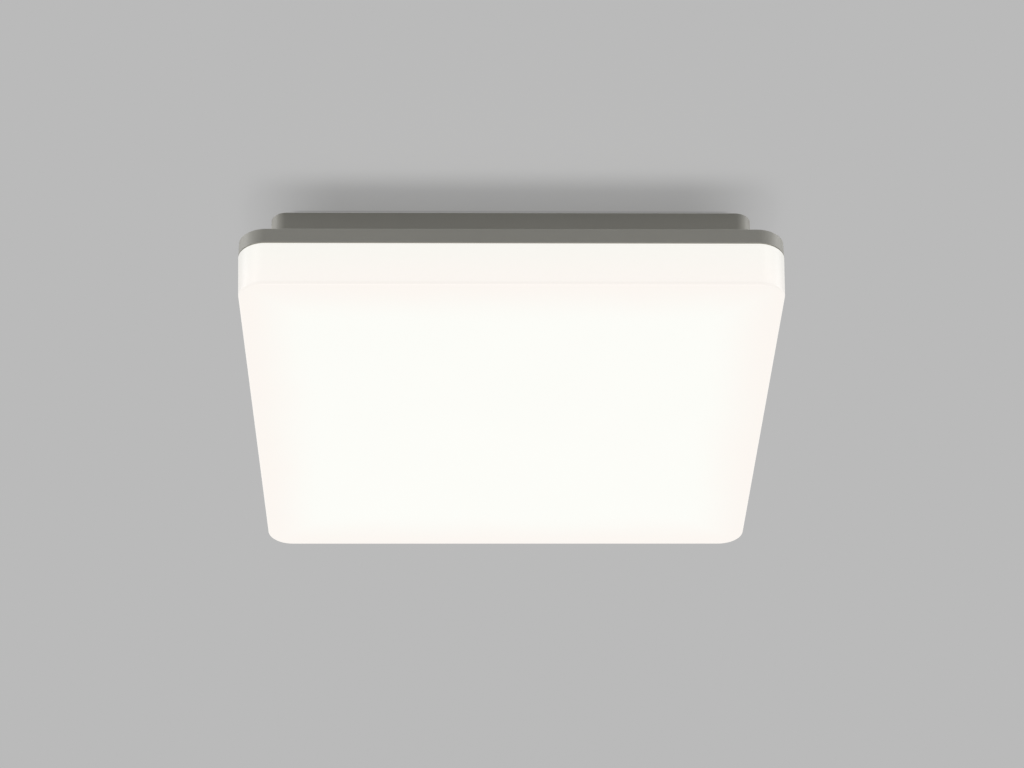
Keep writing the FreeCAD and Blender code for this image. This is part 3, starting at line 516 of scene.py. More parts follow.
@dataclass(frozen=True)
class OpalGlow(Finish):
    """Opal plastic lit from behind by rows of LEDs.

    The face is whitest in its middle and warmer at its edges, and the walls are warmer towards
    the foot. The walls glow a touch brighter than the face, partly as painted light in place
    of the key lamp's light, which falls on the face and not on the walls. Painted shade dims
    the +Y wall by a touch against the key lamp, dims the walls across the rows' ends further
    against the side lamps, and darkens the fold faintly.
    """

    half: float = 150 * MM
    shoulder: float = -32 * MM
    foot: float = -58 * MM
    edge: float = 1.8 * MM
    row_end: float = 138 * MM
    face_glow: Colour = (0.738, 0.741, 0.705)
    edge_glow: Colour = (0.735, 0.688, 0.648)
    wall_top_glow: Colour = (0.805, 0.79, 0.745)
    wall_low_glow: Colour = (0.83, 0.79, 0.75)
    border: Flat = (0.72, 1.02)            # shares of half between which the edge glow grows
    border_drift: float = 20 * MM
    neck: Flat = (-0.3 * MM, 4 * MM)       # from the shoulder, where the glow is lost
    neck_loss: float = 0.35
    # painted shade: the fold darkened faintly, the walls at the rows' ends dimmed against the side
    # lamps
    fold_shade: float = 0.01
    ends_wall_shade: float = 0.3
    far_wall_shade: float = 0.06                 # painted shade on the +Y wall, against the key lamp's light
    gleam: float = 0.2                     # low, so that the lit face doesn't glare

    def layers(self) -> tuple[Layer, ...]:
        """Clouds and skin."""
        return (Layer(60 * MM, tone=0.06, detail=2.0),
                Layer(1.5 * MM, gloss=0.08, depth=0.01 * MM, detail=2.0))

    def further(self, shader: Shader, noises: Sequence[Socket]) -> dict[str, Any]:
        """The light from behind, with painted shade on the fold, the +Y wall and the walls at the
        rows' ends.

        Args:
            shader: Node work of the material.
            noises: Clouds and skin.

        Returns:
            The emission's sockets and the gleam.
        """
        x, y, z = shader.place()
        out = abs(x).math("MAXIMUM", abs(y)) + noises[0].sway(self.border_drift)
        rim = out.ramp(*(share * self.half for share in self.border))
        face = shader.mixed(rim, self.face_glow, self.edge_glow)
        height = z.ramp(self.foot, self.shoulder)
        wall = shader.mixed(height, self.wall_low_glow, self.wall_top_glow)
        on_wall = ((z - self.foot) * (1 / self.edge)).math("MINIMUM", 1.0, clamp=True)
        # painted shade: a faint dark line along the fold
        off_fold = abs(z - (self.foot + self.edge)).ramp(0.0, self.edge)
        fold_shading = off_fold * self.fold_shade + (1.0 - self.fold_shade)
        above = 1.0 - z.ramp(*(self.shoulder + rise for rise in self.neck)) * self.neck_loss
        # painted shade: walls across the rows' ends and the +Y wall dimmed against the side and
        # key lamps
        ends = 1.0 - abs(x).ramp(self.row_end, self.half) * on_wall * self.ends_wall_shade
        far = 1.0 - y.ramp(self.row_end, self.half) * on_wall * self.far_wall_shade
        glow = shader.toned(shader.mixed(on_wall, face, wall), fold_shading * above * ends * far)
        return {"Emission Color": glow, "Emission Strength": 1.0,
                "Specular IOR Level": self.gleam}


HOUSING_GREY = MouldedPlastic("housing_grey", (0.317, 0.31, 0.279), 0.52)
SEAL_RUBBER = Rubber("seal_rubber_black", (0.03, 0.03, 0.031), 0.75)
GASKET_FOAM = Foam("gasket_foam_grey", (0.52, 0.52, 0.5), 0.9)
OPAL = OpalGlow("opal_lit", (0.24, 0.238, 0.232), 0.42)
SPRING_STEEL = BareMetal("spring_steel", (0.45, 0.45, 0.44), 0.36, Grain.ALONG_Y)
ZINC = BareMetal("zinc_plated", (0.68, 0.67, 0.63), 0.38, stain=(0.52, 0.5, 0.42))
BRASS = BareMetal("brass", (0.72, 0.53, 0.26), 0.33, stain=(0.5, 0.34, 0.15))
TINNED_COPPER = BareMetal("tinned_copper", (0.72, 0.56, 0.42), 0.35, stain=(0.55, 0.36, 0.24))
SOLDER = BareMetal("solder", (0.7, 0.7, 0.7), 0.42)
TRAY_WHITE = PowderCoat("tray_powder_white", (0.58, 0.58, 0.565), 0.42)
NYLON = MouldedPlastic("connector_nylon_natural", (0.66, 0.64, 0.58), 0.45, 0.4 * MM)
DRIVER_WHITE = MouldedPlastic("driver_white", (0.66, 0.66, 0.65), 0.5)
TERMINAL_WHITE = MouldedPlastic("terminal_white", (0.62, 0.62, 0.6), 0.4, 0.4 * MM)
BUTTON_ORANGE = MouldedPlastic("button_orange", (0.72, 0.2, 0.025), 0.38, 0.4 * MM)
COMPONENT_BLACK = MouldedPlastic("component_black", (0.025, 0.025, 0.027), 0.45, 0.4 * MM)
PACKAGE_WHITE = MouldedPlastic("led_package_white", (0.75, 0.75, 0.73), 0.4, 0.3 * MM)
LED_RESIN = Phosphor("led_resin", (0.8, 0.6, 0.14), 0.3)
BOARD_WHITE = SolderMask("board_white", (0.74, 0.74, 0.73), 0.35, (0.6, 0.6, 0.585))
BOARD_GREEN = SolderMask("board_green", (0.02, 0.13, 0.06), 0.35, (0.05, 0.22, 0.1),
                         track_place=2.5 * MM)
RED_WIRE = Insulation("red_insulation", (0.5, 0.018, 0.015), 0.35)
BLACK_WIRE = Insulation("black_insulation", (0.022, 0.022, 0.024), 0.38)
BROWN_WIRE = Insulation("brown_insulation", (0.15, 0.05, 0.02), 0.38)
BLUE_WIRE = Insulation("blue_insulation", (0.02, 0.09, 0.42), 0.38)
EARTH_WIRE = Insulation("earth_insulation", (0.04, 0.28, 0.05), 0.38, (0.75, 0.6, 0.03))
WHITE_FLEX = Insulation("white_flex", (0.68, 0.68, 0.66), 0.4)


# ---------------------------------------------------------------- meshes
@dataclass(frozen=True)
class Span:
    """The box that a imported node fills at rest."""

    low: Vector
    high: Vector

    @classmethod
    def of(cls, node: str) -> "Span":
        """The box of the node of that name."""
        return cls(*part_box(node))

    @property
    def centre(self) -> Vector:
        """Its middle."""
        return (self.low + self.high) / 2

    @property
    def size(self) -> Vector:
        """Its three lengths."""
        return self.high - self.low


def placed(name: str, data: bpy.types.ID) -> bpy.types.Object:
    """Put a mesh, curve, lamp or camera into the scene.

    Args:
        name: The object's name.
        data: What it shows.

    Returns:
        The new object, at the origin.
    """
    made = bpy.data.objects.new(name, data)
    bpy.context.scene.collection.objects.link(made)
    return made


class MeshWork:
    """Makes and works the meshes of the pieces."""

    @staticmethod
    def closed(work: bmesh.types.BMesh, mesh: bpy.types.Mesh | None = None) -> bpy.types.Mesh:
        """Close a bmesh into a mesh whose faces point outwards.

        Args:
            work: The bmesh, which is used up.
            mesh: The mesh that it is written to, or a new one.

        Returns:
            The mesh.
        """
        bmesh.ops.remove_doubles(work, verts=work.verts, dist=OWN_GAP)
        bmesh.ops.recalc_face_normals(work, faces=work.faces)
        mesh = mesh or bpy.data.meshes.new("made")
        work.to_mesh(mesh)
        work.free()
        return mesh

    @classmethod
    def outward(cls, mesh: bpy.types.Mesh) -> bpy.types.Mesh:
        """Merge a swept mesh's doubles and turn every face outwards.

        Args:
            mesh: The mesh, which keeps its materials and attributes.

        Returns:
            The same mesh.
        """
        work = bmesh.new()
        work.from_mesh(mesh)
        return cls.closed(work, mesh)

    @classmethod
    def lathe(cls, profile: Sequence[Flat], steps: int) -> bpy.types.Mesh:
        """Turn a profile about Z.

        Args:
            profile: (radius, z) points from one end of the axis to the other.
            steps: Faces round the axis.

        Returns:
            The closed mesh.
        """
        work = bmesh.new()
        turns = [math.tau * i / steps for i in range(steps)]
        rings = [[work.verts.new((radius * math.cos(turn), radius * math.sin(turn), z))
                  for turn in turns] for radius, z in profile]
        for a, b in zip(rings, rings[1:]):
            for i in range(steps):
                work.faces.new((a[i - 1], a[i], b[i], b[i - 1]))
        return cls.closed(work)

    @classmethod
    def extruded(cls, outline: Sequence[Point], by: Point) -> bpy.types.Mesh:
        """Draw a flat outline out into a closed solid.

        Args:
            outline: Points of the outline in order.
            by: How far and which way it is drawn.

        Returns:
            The closed mesh.
        """
        work = bmesh.new()
        face = work.faces.new([work.verts.new(point) for point in outline])
        drawn = bmesh.ops.extrude_face_region(work, geom=[face])
        moved = [item for item in drawn["geom"] if isinstance(item, bmesh.types.BMVert)]
        bmesh.ops.translate(work, verts=moved, vec=by)
        return cls.closed(work)

    @classmethod
    def slab(cls, outline: Sequence[Flat], half: float) -> bpy.types.Mesh:
        """A flat (x, z) outline drawn out along Y, half of it to each side."""
        return cls.extruded([(x, -half, z) for x, z in outline], (0.0, 2 * half, 0.0))

    @classmethod
    def box(cls, low: Vector, high: Vector) -> bpy.types.Mesh:
        """A box between two corners, as the start of a worked shape or as a cutter."""
        outline = [(x, y, low.z) for x, y in ((low.x, low.y), (high.x, low.y),
                                              (high.x, high.y), (low.x, high.y))]
        return cls.extruded(outline, (0.0, 0.0, high.z - low.z))

    @staticmethod
    def settled(carrier: bpy.types.Object) -> bpy.types.Mesh:
        """Apply an object's modifiers and remove the object.

        Args:
            carrier: Object with live modifiers.

        Returns:
            The resulting plain mesh.
        """
        graph = bpy.context.evaluated_depsgraph_get()
        mesh = bpy.data.meshes.new_from_object(carrier.evaluated_get(graph),
                                               preserve_all_data_layers=True, depsgraph=graph)
        bpy.data.objects.remove(carrier)
        return mesh

    @classmethod
    def worked(cls, body: bpy.types.Mesh, cutters: Sequence[bpy.types.Mesh],
               bevel: float = 0.0, segments: int = 2) -> bpy.types.Mesh:
        """Cut a body and round its edges.

        Args:
            body: The mesh that is worked.
            cutters: Closed meshes that are cut away.
            bevel: Radius of the edges' rounding, or 0 for none.
            segments: Steps of the rounding.

        Returns:
            The worked mesh.
        """
        carrier = placed("body", body)
        tools = [placed("cutter", cutter) for cutter in cutters]
        for tool in tools:
            cut = carrier.modifiers.new("cut", "BOOLEAN")
            cut.operation, cut.object, cut.solver = "DIFFERENCE", tool, "EXACT"
        if bevel:
            rounding = carrier.modifiers.new("round", "BEVEL")
            rounding.width, rounding.segments = bevel, segments
            rounding.limit_method, rounding.angle_limit = "ANGLE", SHARP
        mesh = cls.settled(carrier)
        for tool in tools:
            bpy.data.objects.remove(tool)
        return mesh


def arc(radius: float, steps: int, centre: Flat = (0.0, 0.0), start: float = 0.0,
        sweep: float = math.tau) -> list[Flat]:
    """Points round a circle or along an arc.

    Args:
        radius: Radius of the circle.
        steps: How many steps the sweep has.
        centre: Its middle.
        start: Angle of the first point.
        sweep: Angle from the first point to the last.

    Returns:
        The points; a full circle leaves its last point out.
    """
    turns = [start + sweep * i / steps for i in range(steps + (sweep != math.tau))]
    return [(centre[0] + radius * math.cos(turn), centre[1] + radius * math.sin(turn))
            for turn in turns]


def eased(points: Sequence[Flat], radius: float, steps: int = 5) -> list[Flat]:
    """Round the inner corners of an open line.

    Args:
        points: Corners of the line.
        radius: Radius of each rounding, held to what the runs allow.
        steps: Steps of each rounding.

    Returns:
        The points of the rounded line.
    """
    most = 0.45    # of a run goes into each of its roundings
    made = [points[0]]
    for a, b, c in zip(*(map(Vector, points[i:]) for i in range(3))):
        run_in, run_out = b - a, c - b
        half_turn = abs(run_in.angle_signed(run_out)) / 2
        reach = min(radius * math.tan(half_turn), most * run_in.length, most * run_out.length)
        start, end = b - run_in.normalized() * reach, b + run_out.normalized() * reach
        for i in range(steps + 1):
            share = i / steps
            made.append(tuple(start.lerp(b, share).lerp(b.lerp(end, share), share)))
    return [*made, points[-1]]


class Line(Enum):
    """Kinds of a curve: straight runs through its points, or a smooth line along them."""

    STRAIGHT = "POLY"
    SMOOTH = "NURBS"


def curve(points: Sequence[Sequence[float]], kind: Line = Line.STRAIGHT,
          closed: bool = False) -> bpy.types.Curve:
    """Make a curve for a recipe to follow or to draw.

    Args:
        points: Points of two or three coordinates.
        kind: How the curve runs along them.
        closed: Whether the last point joins the first.

    Returns:
        The curve.
    """
    made = bpy.data.curves.new("line", "CURVE")
    made.dimensions = "3D"
    spline = made.splines.new(kind.value)
    spline.points.add(len(points) - 1)
    for spot, point in zip(spline.points, points):
        spot.co = (*(*point, 0.0)[:3], 1.0)
    spline.use_cyclic_u = closed
    if kind is Line.SMOOTH:
        spline.use_endpoint_u = True
        spline.order_u, spline.resolution_u = SMOOTH_ORDER, SMOOTH_STEPS
    return made


@dataclass(frozen=True)
class Piece:
    """A visible piece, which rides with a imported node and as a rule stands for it."""

    name: str
    node: str
    mesh: bpy.types.Mesh
    finish: Finish | None = None     # None where a recipe has set it
    sharp: float = SHARP
    stands_in: bool = True

    def seat(self) -> bpy.types.Object:
        """Show the mesh, smooth but for its sharp edges, on the node's body.

        Returns:
            The seated object.
        """
        self.mesh.name = self.name
        self.mesh.shade_smooth()
        self.mesh.set_sharp_from_angle(angle=self.sharp)
        if self.finish is not None:
            self.mesh.materials.clear()
            self.mesh.materials.append(self.finish.material())
        shown = placed(self.name, self.mesh)
        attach(shown, frame["nodes"][self.node]["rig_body"])
        if self.stands_in:
            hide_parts(self.node)
        log.info("%s: %d faces, rides with %s", self.name, len(self.mesh.polygons), self.node)
        return shown


def recast(finish: Finish, *nodes: str) -> None:
    """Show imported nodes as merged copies, whose curves are smooth.

    Args:
        finish: Their finish.
        nodes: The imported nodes.
    """
    for node in nodes:
        work = bmesh.new()
        work.from_mesh(frame["nodes"][node].data)
        bmesh.ops.remove_doubles(work, verts=work.verts, dist=PACKED_GAP)
        mesh = bpy.data.meshes.new(node)
        work.to_mesh(mesh)
        work.free()
        stale = mesh.attributes.get("custom_normal")
        if stale is not None:
            mesh.attributes.remove(stale)
        shown = Piece(f"{node}_cast", node, mesh, finish).seat()
        shown.modifiers.new("even", "WEIGHTED_NORMAL").keep_sharp = True


def dressed(finish: Finish, *nodes: str) -> None:
    """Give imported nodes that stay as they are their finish.

    Args:
        finish: The finish.
        nodes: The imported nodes.
    """
    for node in nodes:
        materials = frame["nodes"][node].data.materials
        materials.clear()
        materials.append(finish.material())
        log.info("%s: dressed in %s", node, finish.name)


# ---------------------------------------------------------------- geometry recipes
class Input(Enum):
    """Kinds of a recipe's inputs."""

    OBJECT = "NodeSocketObject"
    NUMBER = "NodeSocketFloat"
    COUNT = "NodeSocketInt"
    FINISH = "NodeSocketMaterial"


class Recipe(NodeWork):
    """A geometry tree with named inputs, grown once for each mesh that it makes."""

    def __init__(self, name: str, **inputs: Input) -> None:
        """Make a tree with its inputs.

        Args:
            name: The tree's name.
            inputs: Kind of each input by name; "finish" is always there.
        """
        super().__init__(bpy.data.node_groups.new(name, "GeometryNodeTree"))
        sockets = self.tree.interface
        self.marks = {title: sockets.new_socket(title, in_out="INPUT",
                                                socket_type=kind.value).identifier
                      for title, kind in {**inputs, "finish": Input.FINISH}.items()}
        sockets.new_socket("Geometry", in_out="OUTPUT", socket_type="NodeSocketGeometry")
        self.inputs = self.node("NodeGroupInput").outputs

    def read(self, title: str, whole: bool = False) -> bpy.types.NodeSocket:
        """Geometry of an object input, as one instance if it is wanted whole."""
        return self.node("GeometryNodeObjectInfo", {},
                         {"Object": self.inputs[title], "As Instance": whole}).outputs["Geometry"]

    def close(self, geometry: bpy.types.NodeSocket) -> None:
        """End the tree: real geometry in one finish.

        Args:
            geometry: What the tree has made, instances or not.
        """
        real = self.node("GeometryNodeRealizeInstances", {}, {0: geometry})
        painted = self.node("GeometryNodeSetMaterial", {},
                            {"Geometry": real.outputs[0], "Material": self.inputs["finish"]})
        self.node("NodeGroupOutput", {}, {0: painted.outputs[0]})

    def grow(self, finish: Finish, **values: Any) -> bpy.types.Mesh:
        """Run the tree once.

        Args:
            finish: Finish that the tree sets.
            values: Value of each named input; a mesh or curve stands in for its object.

        Returns:
            The grown plain mesh.
        """
        helpers = {title: placed(title, value) for title, value in values.items()
                   if isinstance(value, bpy.types.ID)}
        carrier = placed("grown", bpy.data.meshes.new("grown"))
        modifier = carrier.modifiers.new("grow", "NODES")
        modifier.node_group = self.tree
        for title, value in {**values, **helpers, "finish": finish.material()}.items():
            modifier[self.marks[title]] = value
        mesh = MeshWork.settled(carrier)
        for helper in helpers.values():
            bpy.data.objects.remove(helper)
        return mesh


class Stamp(Recipe):
    """Sets one shape on each point of a places mesh, turned about Z as the point says."""

    def __init__(self) -> None:
        """Build the tree."""
        super().__init__("stamp", shape=Input.OBJECT, places=Input.OBJECT)
        turn = self.node("GeometryNodeInputNamedAttribute", {"data_type": "FLOAT"},
                         {"Name": TURN})
        about = self.node("ShaderNodeCombineXYZ", {}, {"Z": turn.outputs["Attribute"]})
        stamped = self.node("GeometryNodeInstanceOnPoints", {},
                            {"Points": self.read("places"),
                             "Instance": self.read("shape", whole=True),
                             "Rotation": about.outputs[0]})
        self.close(stamped.outputs[0])

    def stamp(self, shape: bpy.types.Mesh, places: Sequence[Point], finish: Finish,
              turns: Sequence[float] = ()) -> bpy.types.Mesh:
        """Set a shape on places.

        Args:
            shape: The shape, about its own origin.
            places: Where the origin goes.
            finish: Finish of the result.
            turns: Turn about Z at each place, in radians, or none.

        Returns:
            The mesh of all of them.
        """
        spots = bpy.data.meshes.new("places")
        spots.from_pydata(list(places), [], [])
        turn = spots.attributes.new(TURN, "FLOAT", "POINT")
        turn.data.foreach_set("value", turns or [0.0] * len(places))
        return self.grow(finish, shape=shape, places=spots)


class Drawn(Recipe):
    """Draws a section along a route: the leads and the flat jumpers."""

    def __init__(self) -> None:
        """Build the tree, which marks each point with its place round the section."""
        super().__init__("drawn", route=Input.OBJECT, section=Input.OBJECT)
        share = self.node("GeometryNodeSplineParameter")
        twice = self.node("ShaderNodeMath", {"operation": "MULTIPLY"},
                          {0: share.outputs["Factor"], 1: 2 * math.tau})
        wave = self.node("ShaderNodeMath", {"operation": "COSINE"}, {0: twice.outputs[0]})
        marked = self.node("GeometryNodeStoreNamedAttribute",
                           {"data_type": "FLOAT", "domain": "POINT"},
                           {"Geometry": self.read("section"), "Name": AROUND,
                            "Value": wave.outputs[0]})
        drawn = self.node("GeometryNodeCurveToMesh", {},
                          {"Curve": self.read("route"), "Profile Curve": marked.outputs[0],
                           "Fill Caps": True})
        self.close(drawn.outputs[0])

    def draw(self, route: bpy.types.Curve, section: bpy.types.Curve,
             finish: Finish) -> bpy.types.Mesh:
        """Draw a closed section, flat in its own XY plane, along a route."""
        return MeshWork.outward(self.grow(finish, route=route, section=section))


class SquareSweep(Recipe):
    """Carries a section round a square with round corners: the diffuser and the gasket.

    The section is given as (outwards, upwards) points, so that an inset part of it has a
    smaller corner, as a moulding with an even draft has.
    """

    def __init__(self) -> None:
        """Build the tree."""
        super().__init__("square_sweep", section=Input.OBJECT, side=Input.NUMBER,
                         corner=Input.NUMBER, corner_steps=Input.COUNT)
        square = self.node("GeometryNodeCurvePrimitiveQuadrilateral", {"mode": "RECTANGLE"},
                           {"Width": self.inputs["side"], "Height": self.inputs["side"]})
        rounded = self.node("GeometryNodeFilletCurve", {"mode": "POLY"},
                            {"Curve": square.outputs[0], "Count": self.inputs["corner_steps"],
                             "Radius": self.inputs["corner"]})
        upright = self.node("GeometryNodeSetCurveNormal", {"mode": "Z_UP"},
                            {"Curve": rounded.outputs[0]})
        swept = self.node("GeometryNodeCurveToMesh", {}, {"Curve": upright.outputs[0],
                                                          "Profile Curve": self.read("section")})
        self.close(swept.outputs[0])

    def sweep(self, points: Sequence[Flat], finish: Finish, closed: bool = False,
              **sizes: float) -> bpy.types.Mesh:
        """Carry a section round a square.

        Args:
            points: The section's (outwards, upwards) points; the sweep lays y downwards.
            finish: Finish of the result.
            closed: Whether the section is closed.
            sizes: The tree's side, corner and corner_steps.

        Returns:
            The swept mesh, open where the section is open.
        """
        section = curve([(x, -y) for x, y in points], closed=closed)
        return self.grow(finish, section=section, **sizes)


@dataclass(frozen=True)
class Kit:
    """The recipes that the sub-assemblies share."""

    stamp: Stamp = field(default_factory=Stamp)
    drawn: Drawn = field(default_factory=Drawn)
    square: SquareSweep = field(default_factory=SquareSweep)


# ---------------------------------------------------------------- fasteners
@dataclass(frozen=True)
class PanScrew:
    """Pan head screw with a cross recess, driven upwards; its seat is at z = 0."""

    node: str
    head_radius: float
    head_height: float
    shank_radius: float
    shank_length: float
    turns: tuple[float, ...]         # how far each one of the node is turned
    finish: Finish = ZINC
    pitch: float = 1.1 * MM
    plain: float = 0.8 * MM          # shank without thread, at each end
    core: float = 0.8                # share of the shank's radius
    flank: float = 0.35              # share of the head's height under its dome
    dome: tuple[float, ...] = (75, 60, 45, 30, 15, 0)    # degrees round the dome
    narrowing: Flat = (0.96, 0.1)    # at the seat, as shares of the head's radius and height
    crest: Flat = (0.35, 0.5)        # where a thread's crest starts and ends in its pitch
    blade: Flat = (0.55, 0.13)       # half length and half width, shares of the head's radius
    taper: tuple[Flat, ...] = ((-1.0, -1.3), (1.0, -1.3), (0.35, -0.3), (-0.35, -0.3))
    steps: int = 28

    def build(self) -> bpy.types.Mesh:
        """Make the screw's mesh.

        Returns:
            The closed mesh, head below the seat and shank above it.
        """
        r, h, tip = self.head_radius, self.head_height, self.shank_length
        core = self.core * self.shank_radius
        dome = [(r * math.cos(a), -h * (self.flank + (1 - self.flank) * math.sin(a)))
                for a in map(math.radians, self.dome)]
        thread = []
        for i in range(int((tip - 2 * self.plain) / self.pitch)):
            low = self.plain + i * self.pitch
            thread += [(core, low), *((self.shank_radius, low + share * self.pitch)
                                      for share in self.crest)]
        narrow, above = self.narrowing
        profile = [(0.0, -h), *dome, (r, -above * h), (narrow * r, 0.0), (core, 0.0), *thread,
                   (core, tip - self.plain), (0.0, tip)]
        return MeshWork.worked(MeshWork.lathe(profile, self.steps), self.recess())

    def recess(self) -> list[bpy.types.Mesh]:
        """The cross-shaped recess; its taper is shares of the blade's reach and head's height.

        Returns:
            Its two tapered blades.
        """
        reach, half = (share * self.head_radius for share in self.blade)
        outline = [(out * reach, up * self.head_height) for out, up in self.taper]
        return [MeshWork.extruded([(half, x, z) for x, z in outline], (-2 * half, 0.0, 0.0)),
                MeshWork.slab(outline, half)]


# ---------------------------------------------------------------- sub-assemblies
@dataclass
class Assembly:
    """A sub-assembly of the light, whose build method makes and seats its pieces."""

    kit: Kit

    def screws(self, screw: PanScrew, spots: Sequence[Flat]) -> None:
        """Set the screws of a node.

        Args:
            screw: Their shape.
            spots: (x, y) of each.
        """
        seat = Span.of(screw.node).low.z + screw.head_height
        mesh = self.kit.stamp.stamp(screw.build(), [(x, y, seat) for x, y in spots],
                                    screw.finish, screw.turns)
        Piece(f"{screw.node}_pan", screw.node, mesh).seat()


@dataclass
class Housing(Assembly):
    """Grey moulded housing with its seals, grommet and gasket."""

    gasket_width: float = 2.8 * MM
    gasket_corner: float = 13.2 * MM
    gasket_edge: float = 0.7 * MM
    gasket_crown: float = 0.3        # where the edge's middle point lies, as a share of it
    corner_steps: int = 14

    def build(self) -> None:
        """Make and seat the pieces."""
        recast(HOUSING_GREY, "housing")
        recast(SEAL_RUBBER, "screw_seals", "cable_grommet")
        self.gasket()

    def gasket(self) -> None:
        """Foam ring whose free side is crowned."""
        span = Span.of("rim_gasket")
        width, edge = self.gasket_width, self.gasket_edge
        low, high, shave = span.low.z, span.high.z, self.gasket_crown * edge
        crown = [(-width, high), (0.0, high), (0.0, low + edge), (-shave, low + shave),
                 (-edge, low), (edge - width, low), (shave - width, low + shave),
                 (-width, low + edge)]
        mesh = self.kit.square.sweep(crown, GASKET_FOAM, True, side=span.size.x,
                                     corner=self.gasket_corner, corner_steps=self.corner_steps)
        Piece("rim_gasket_foam", "rim_gasket", MeshWork.outward(mesh)).seat()


@dataclass
class Diffuser(Assembly):
    """Opal bowl: flat lit face, drafted walls, shoulder, neck and catch ribs."""

    corner: float = 15.8 * MM
    corner_steps: int = 18
    draft: float = 1.05 * MM
    edge: float = 1.8 * MM
    edge_steps: int = 8
    inner_edge_steps: int = 5
    wall: float = 2.0 * MM
    shoulder: float = 2.0 * MM
    neck_outside: float = 146.8 * MM
    neck_inside: float = 145.0 * MM
    neck_rise: float = 5.0 * MM
    neck_step: float = 0.1 * MM      # the inner wall stands this far out under the neck
    depth: float = 26.0 * MM
    lip: float = 0.35 * MM
    sharp: float = math.radians(28)
    rib_half: float = 19.0 * MM
    rib_tall: float = 1.4 * MM
    rib_drop: float = 0.4 * MM       # below the neck's top
    rib_reach: float = 1.2 * MM
    rib_root: float = 0.4 * MM       # sunk into the neck
    rib_bevels: Flat = (0.5 * MM, 0.3 * MM)

    def build(self) -> None:
        """Make and seat the bowl."""
        span = Span.of("diffuser")
        ring = self.kit.square.sweep(self.section(span), OPAL, side=span.size.x,
                                     corner=self.corner, corner_steps=self.corner_steps)
        ribs = self.kit.stamp.stamp(self.catch_rib(span), [(0.0, 0.0, 0.0)] * 4, OPAL,
                                    SIDE_TURNS)
        work = bmesh.new()
        work.from_mesh(ring)
        bmesh.ops.remove_doubles(work, verts=work.verts, dist=OWN_GAP)
        border = [edge for edge in work.edges if edge.is_boundary]
        bmesh.ops.holes_fill(work, edges=border, sides=0)
        work.from_mesh(ribs)
        Piece("diffuser_bowl", "diffuser", MeshWork.closed(work), OPAL, self.sharp).seat()

    def section(self, span: Span) -> list[Flat]:
        """Outline of the wall from the outer face's edge round to the inner face's edge.

        Args:
            span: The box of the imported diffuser.

        Returns:
            Points of (outwards from the shoulder's side, height).
        """
        face, half = span.low.z, span.high.x
        top, floor = face + self.depth, face + self.wall
        under, tip = top - self.shoulder, top + self.neck_rise
        neck_out, neck_in = self.neck_outside - half, self.neck_inside - half
        lean = math.atan2(self.draft, self.depth)
        foot = -self.draft + self.edge * math.tan(lean)
        inner, inner_edge = -self.wall, self.edge / 2
        outside = arc(self.edge, self.edge_steps, (foot - self.edge, face + self.edge),
                      -QUARTER, QUARTER)
        upper = [(0.0, top - self.lip), (-self.lip, top), (neck_out, top),
                 (neck_out, tip - self.lip), (neck_out - self.lip, tip), (neck_in + self.lip, tip),
                 (neck_in, tip - self.lip), (neck_in, under), (inner - self.neck_step, under)]
        inside = arc(inner_edge, self.inner_edge_steps,
                     (inner - self.draft - inner_edge, floor + inner_edge), 0.0, -QUARTER)
        return [*outside, *upper, *inside]

    def catch_rib(self, span: Span) -> bpy.types.Mesh:
        """The rib inside the neck at +X that a spring clip reaches under.

        Args:
            span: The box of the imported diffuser.

        Returns:
            The rib's mesh.
        """
        top = span.high.z - self.rib_drop
        low = top - self.rib_tall
        root, reach = self.neck_inside + self.rib_root, self.neck_inside - self.rib_reach
        upper, lower = self.rib_bevels
        outline = [(root, top), (reach + upper, top), (reach, top - upper), (reach, low + lower),
                   (reach + lower, low), (root, low)]
        return MeshWork.slab(outline, self.rib_half)


@dataclass
class Clips(Assembly):
    """Four spring clips with rounded bends, and the screws that hold them."""

    sheet: float = 0.5 * MM
    width: float = 22.0 * MM
    bend: float = 0.8 * MM
    edge: float = 0.08 * MM
    foot_start: float = 134.2 * MM
    nose: float = 144.4 * MM
    hook: tuple[Flat, ...] = ((2.6, 0.0), (2.2, 2.1), (0.0, 3.9), (0.3, 4.6))
    tip: Flat = (2.4 * MM, 0.35 * MM)    # back from the nose, up from the lowest point
    hole: float = 1.7 * MM
    hole_steps: int = 24
    screw_place: float = 138.0 * MM
    screw: PanScrew = PanScrew("clip_screws", 2.8 * MM, 1.6 * MM, 1.25 * MM, 3.0 * MM,
                               (0.3, 1.1, 0.7, 1.9))

    def build(self) -> None:
        """Make and seat the pieces; the hook's points are mm back from the nose and down."""
        span = Span.of("diffuser_clips")
        foot = span.high.z - self.sheet / 2
        line = [(self.foot_start, foot),
                *((self.nose - back * MM, foot - down * MM) for back, down in self.hook),
                (self.nose - self.tip[0], span.low.z + self.tip[1])]
        hole = MeshWork.lathe([(0.0, -MM), (self.hole, -MM), (self.hole, MM), (0.0, MM)],
                              self.hole_steps)
        hole.transform(Matrix.Translation((self.screw_place, 0.0, foot)))
        clip = MeshWork.worked(self.strip(eased(line, self.bend)), [hole], self.edge, 1)
        mesh = self.kit.stamp.stamp(clip, [(0.0, 0.0, 0.0)] * 4, SPRING_STEEL, SIDE_TURNS)
        Piece("spring_clips", "diffuser_clips", mesh).seat()
        self.screws(self.screw, arc(self.screw_place, 4))

    def strip(self, route: Sequence[Flat]) -> bpy.types.Mesh:
        """A strip of one thickness along a line in the XZ plane.

        Args:
            route: (x, z) points of its middle line.

        Returns:
            The closed mesh, centred on y = 0.
        """
        sides: tuple[list[Flat], list[Flat]] = ([], [])
        for i, (x, z) in enumerate(route):
            before, after = route[max(i - 1, 0)], route[min(i + 1, len(route) - 1)]
            along = (Vector(after) - Vector(before)).normalized() * (self.sheet / 2)
            for side, sign in zip(sides, (1, -1)):
                side.append((x - sign * along.y, z + sign * along.x))
        return MeshWork.slab([*sides[0], *sides[1][::-1]], self.width / 2)


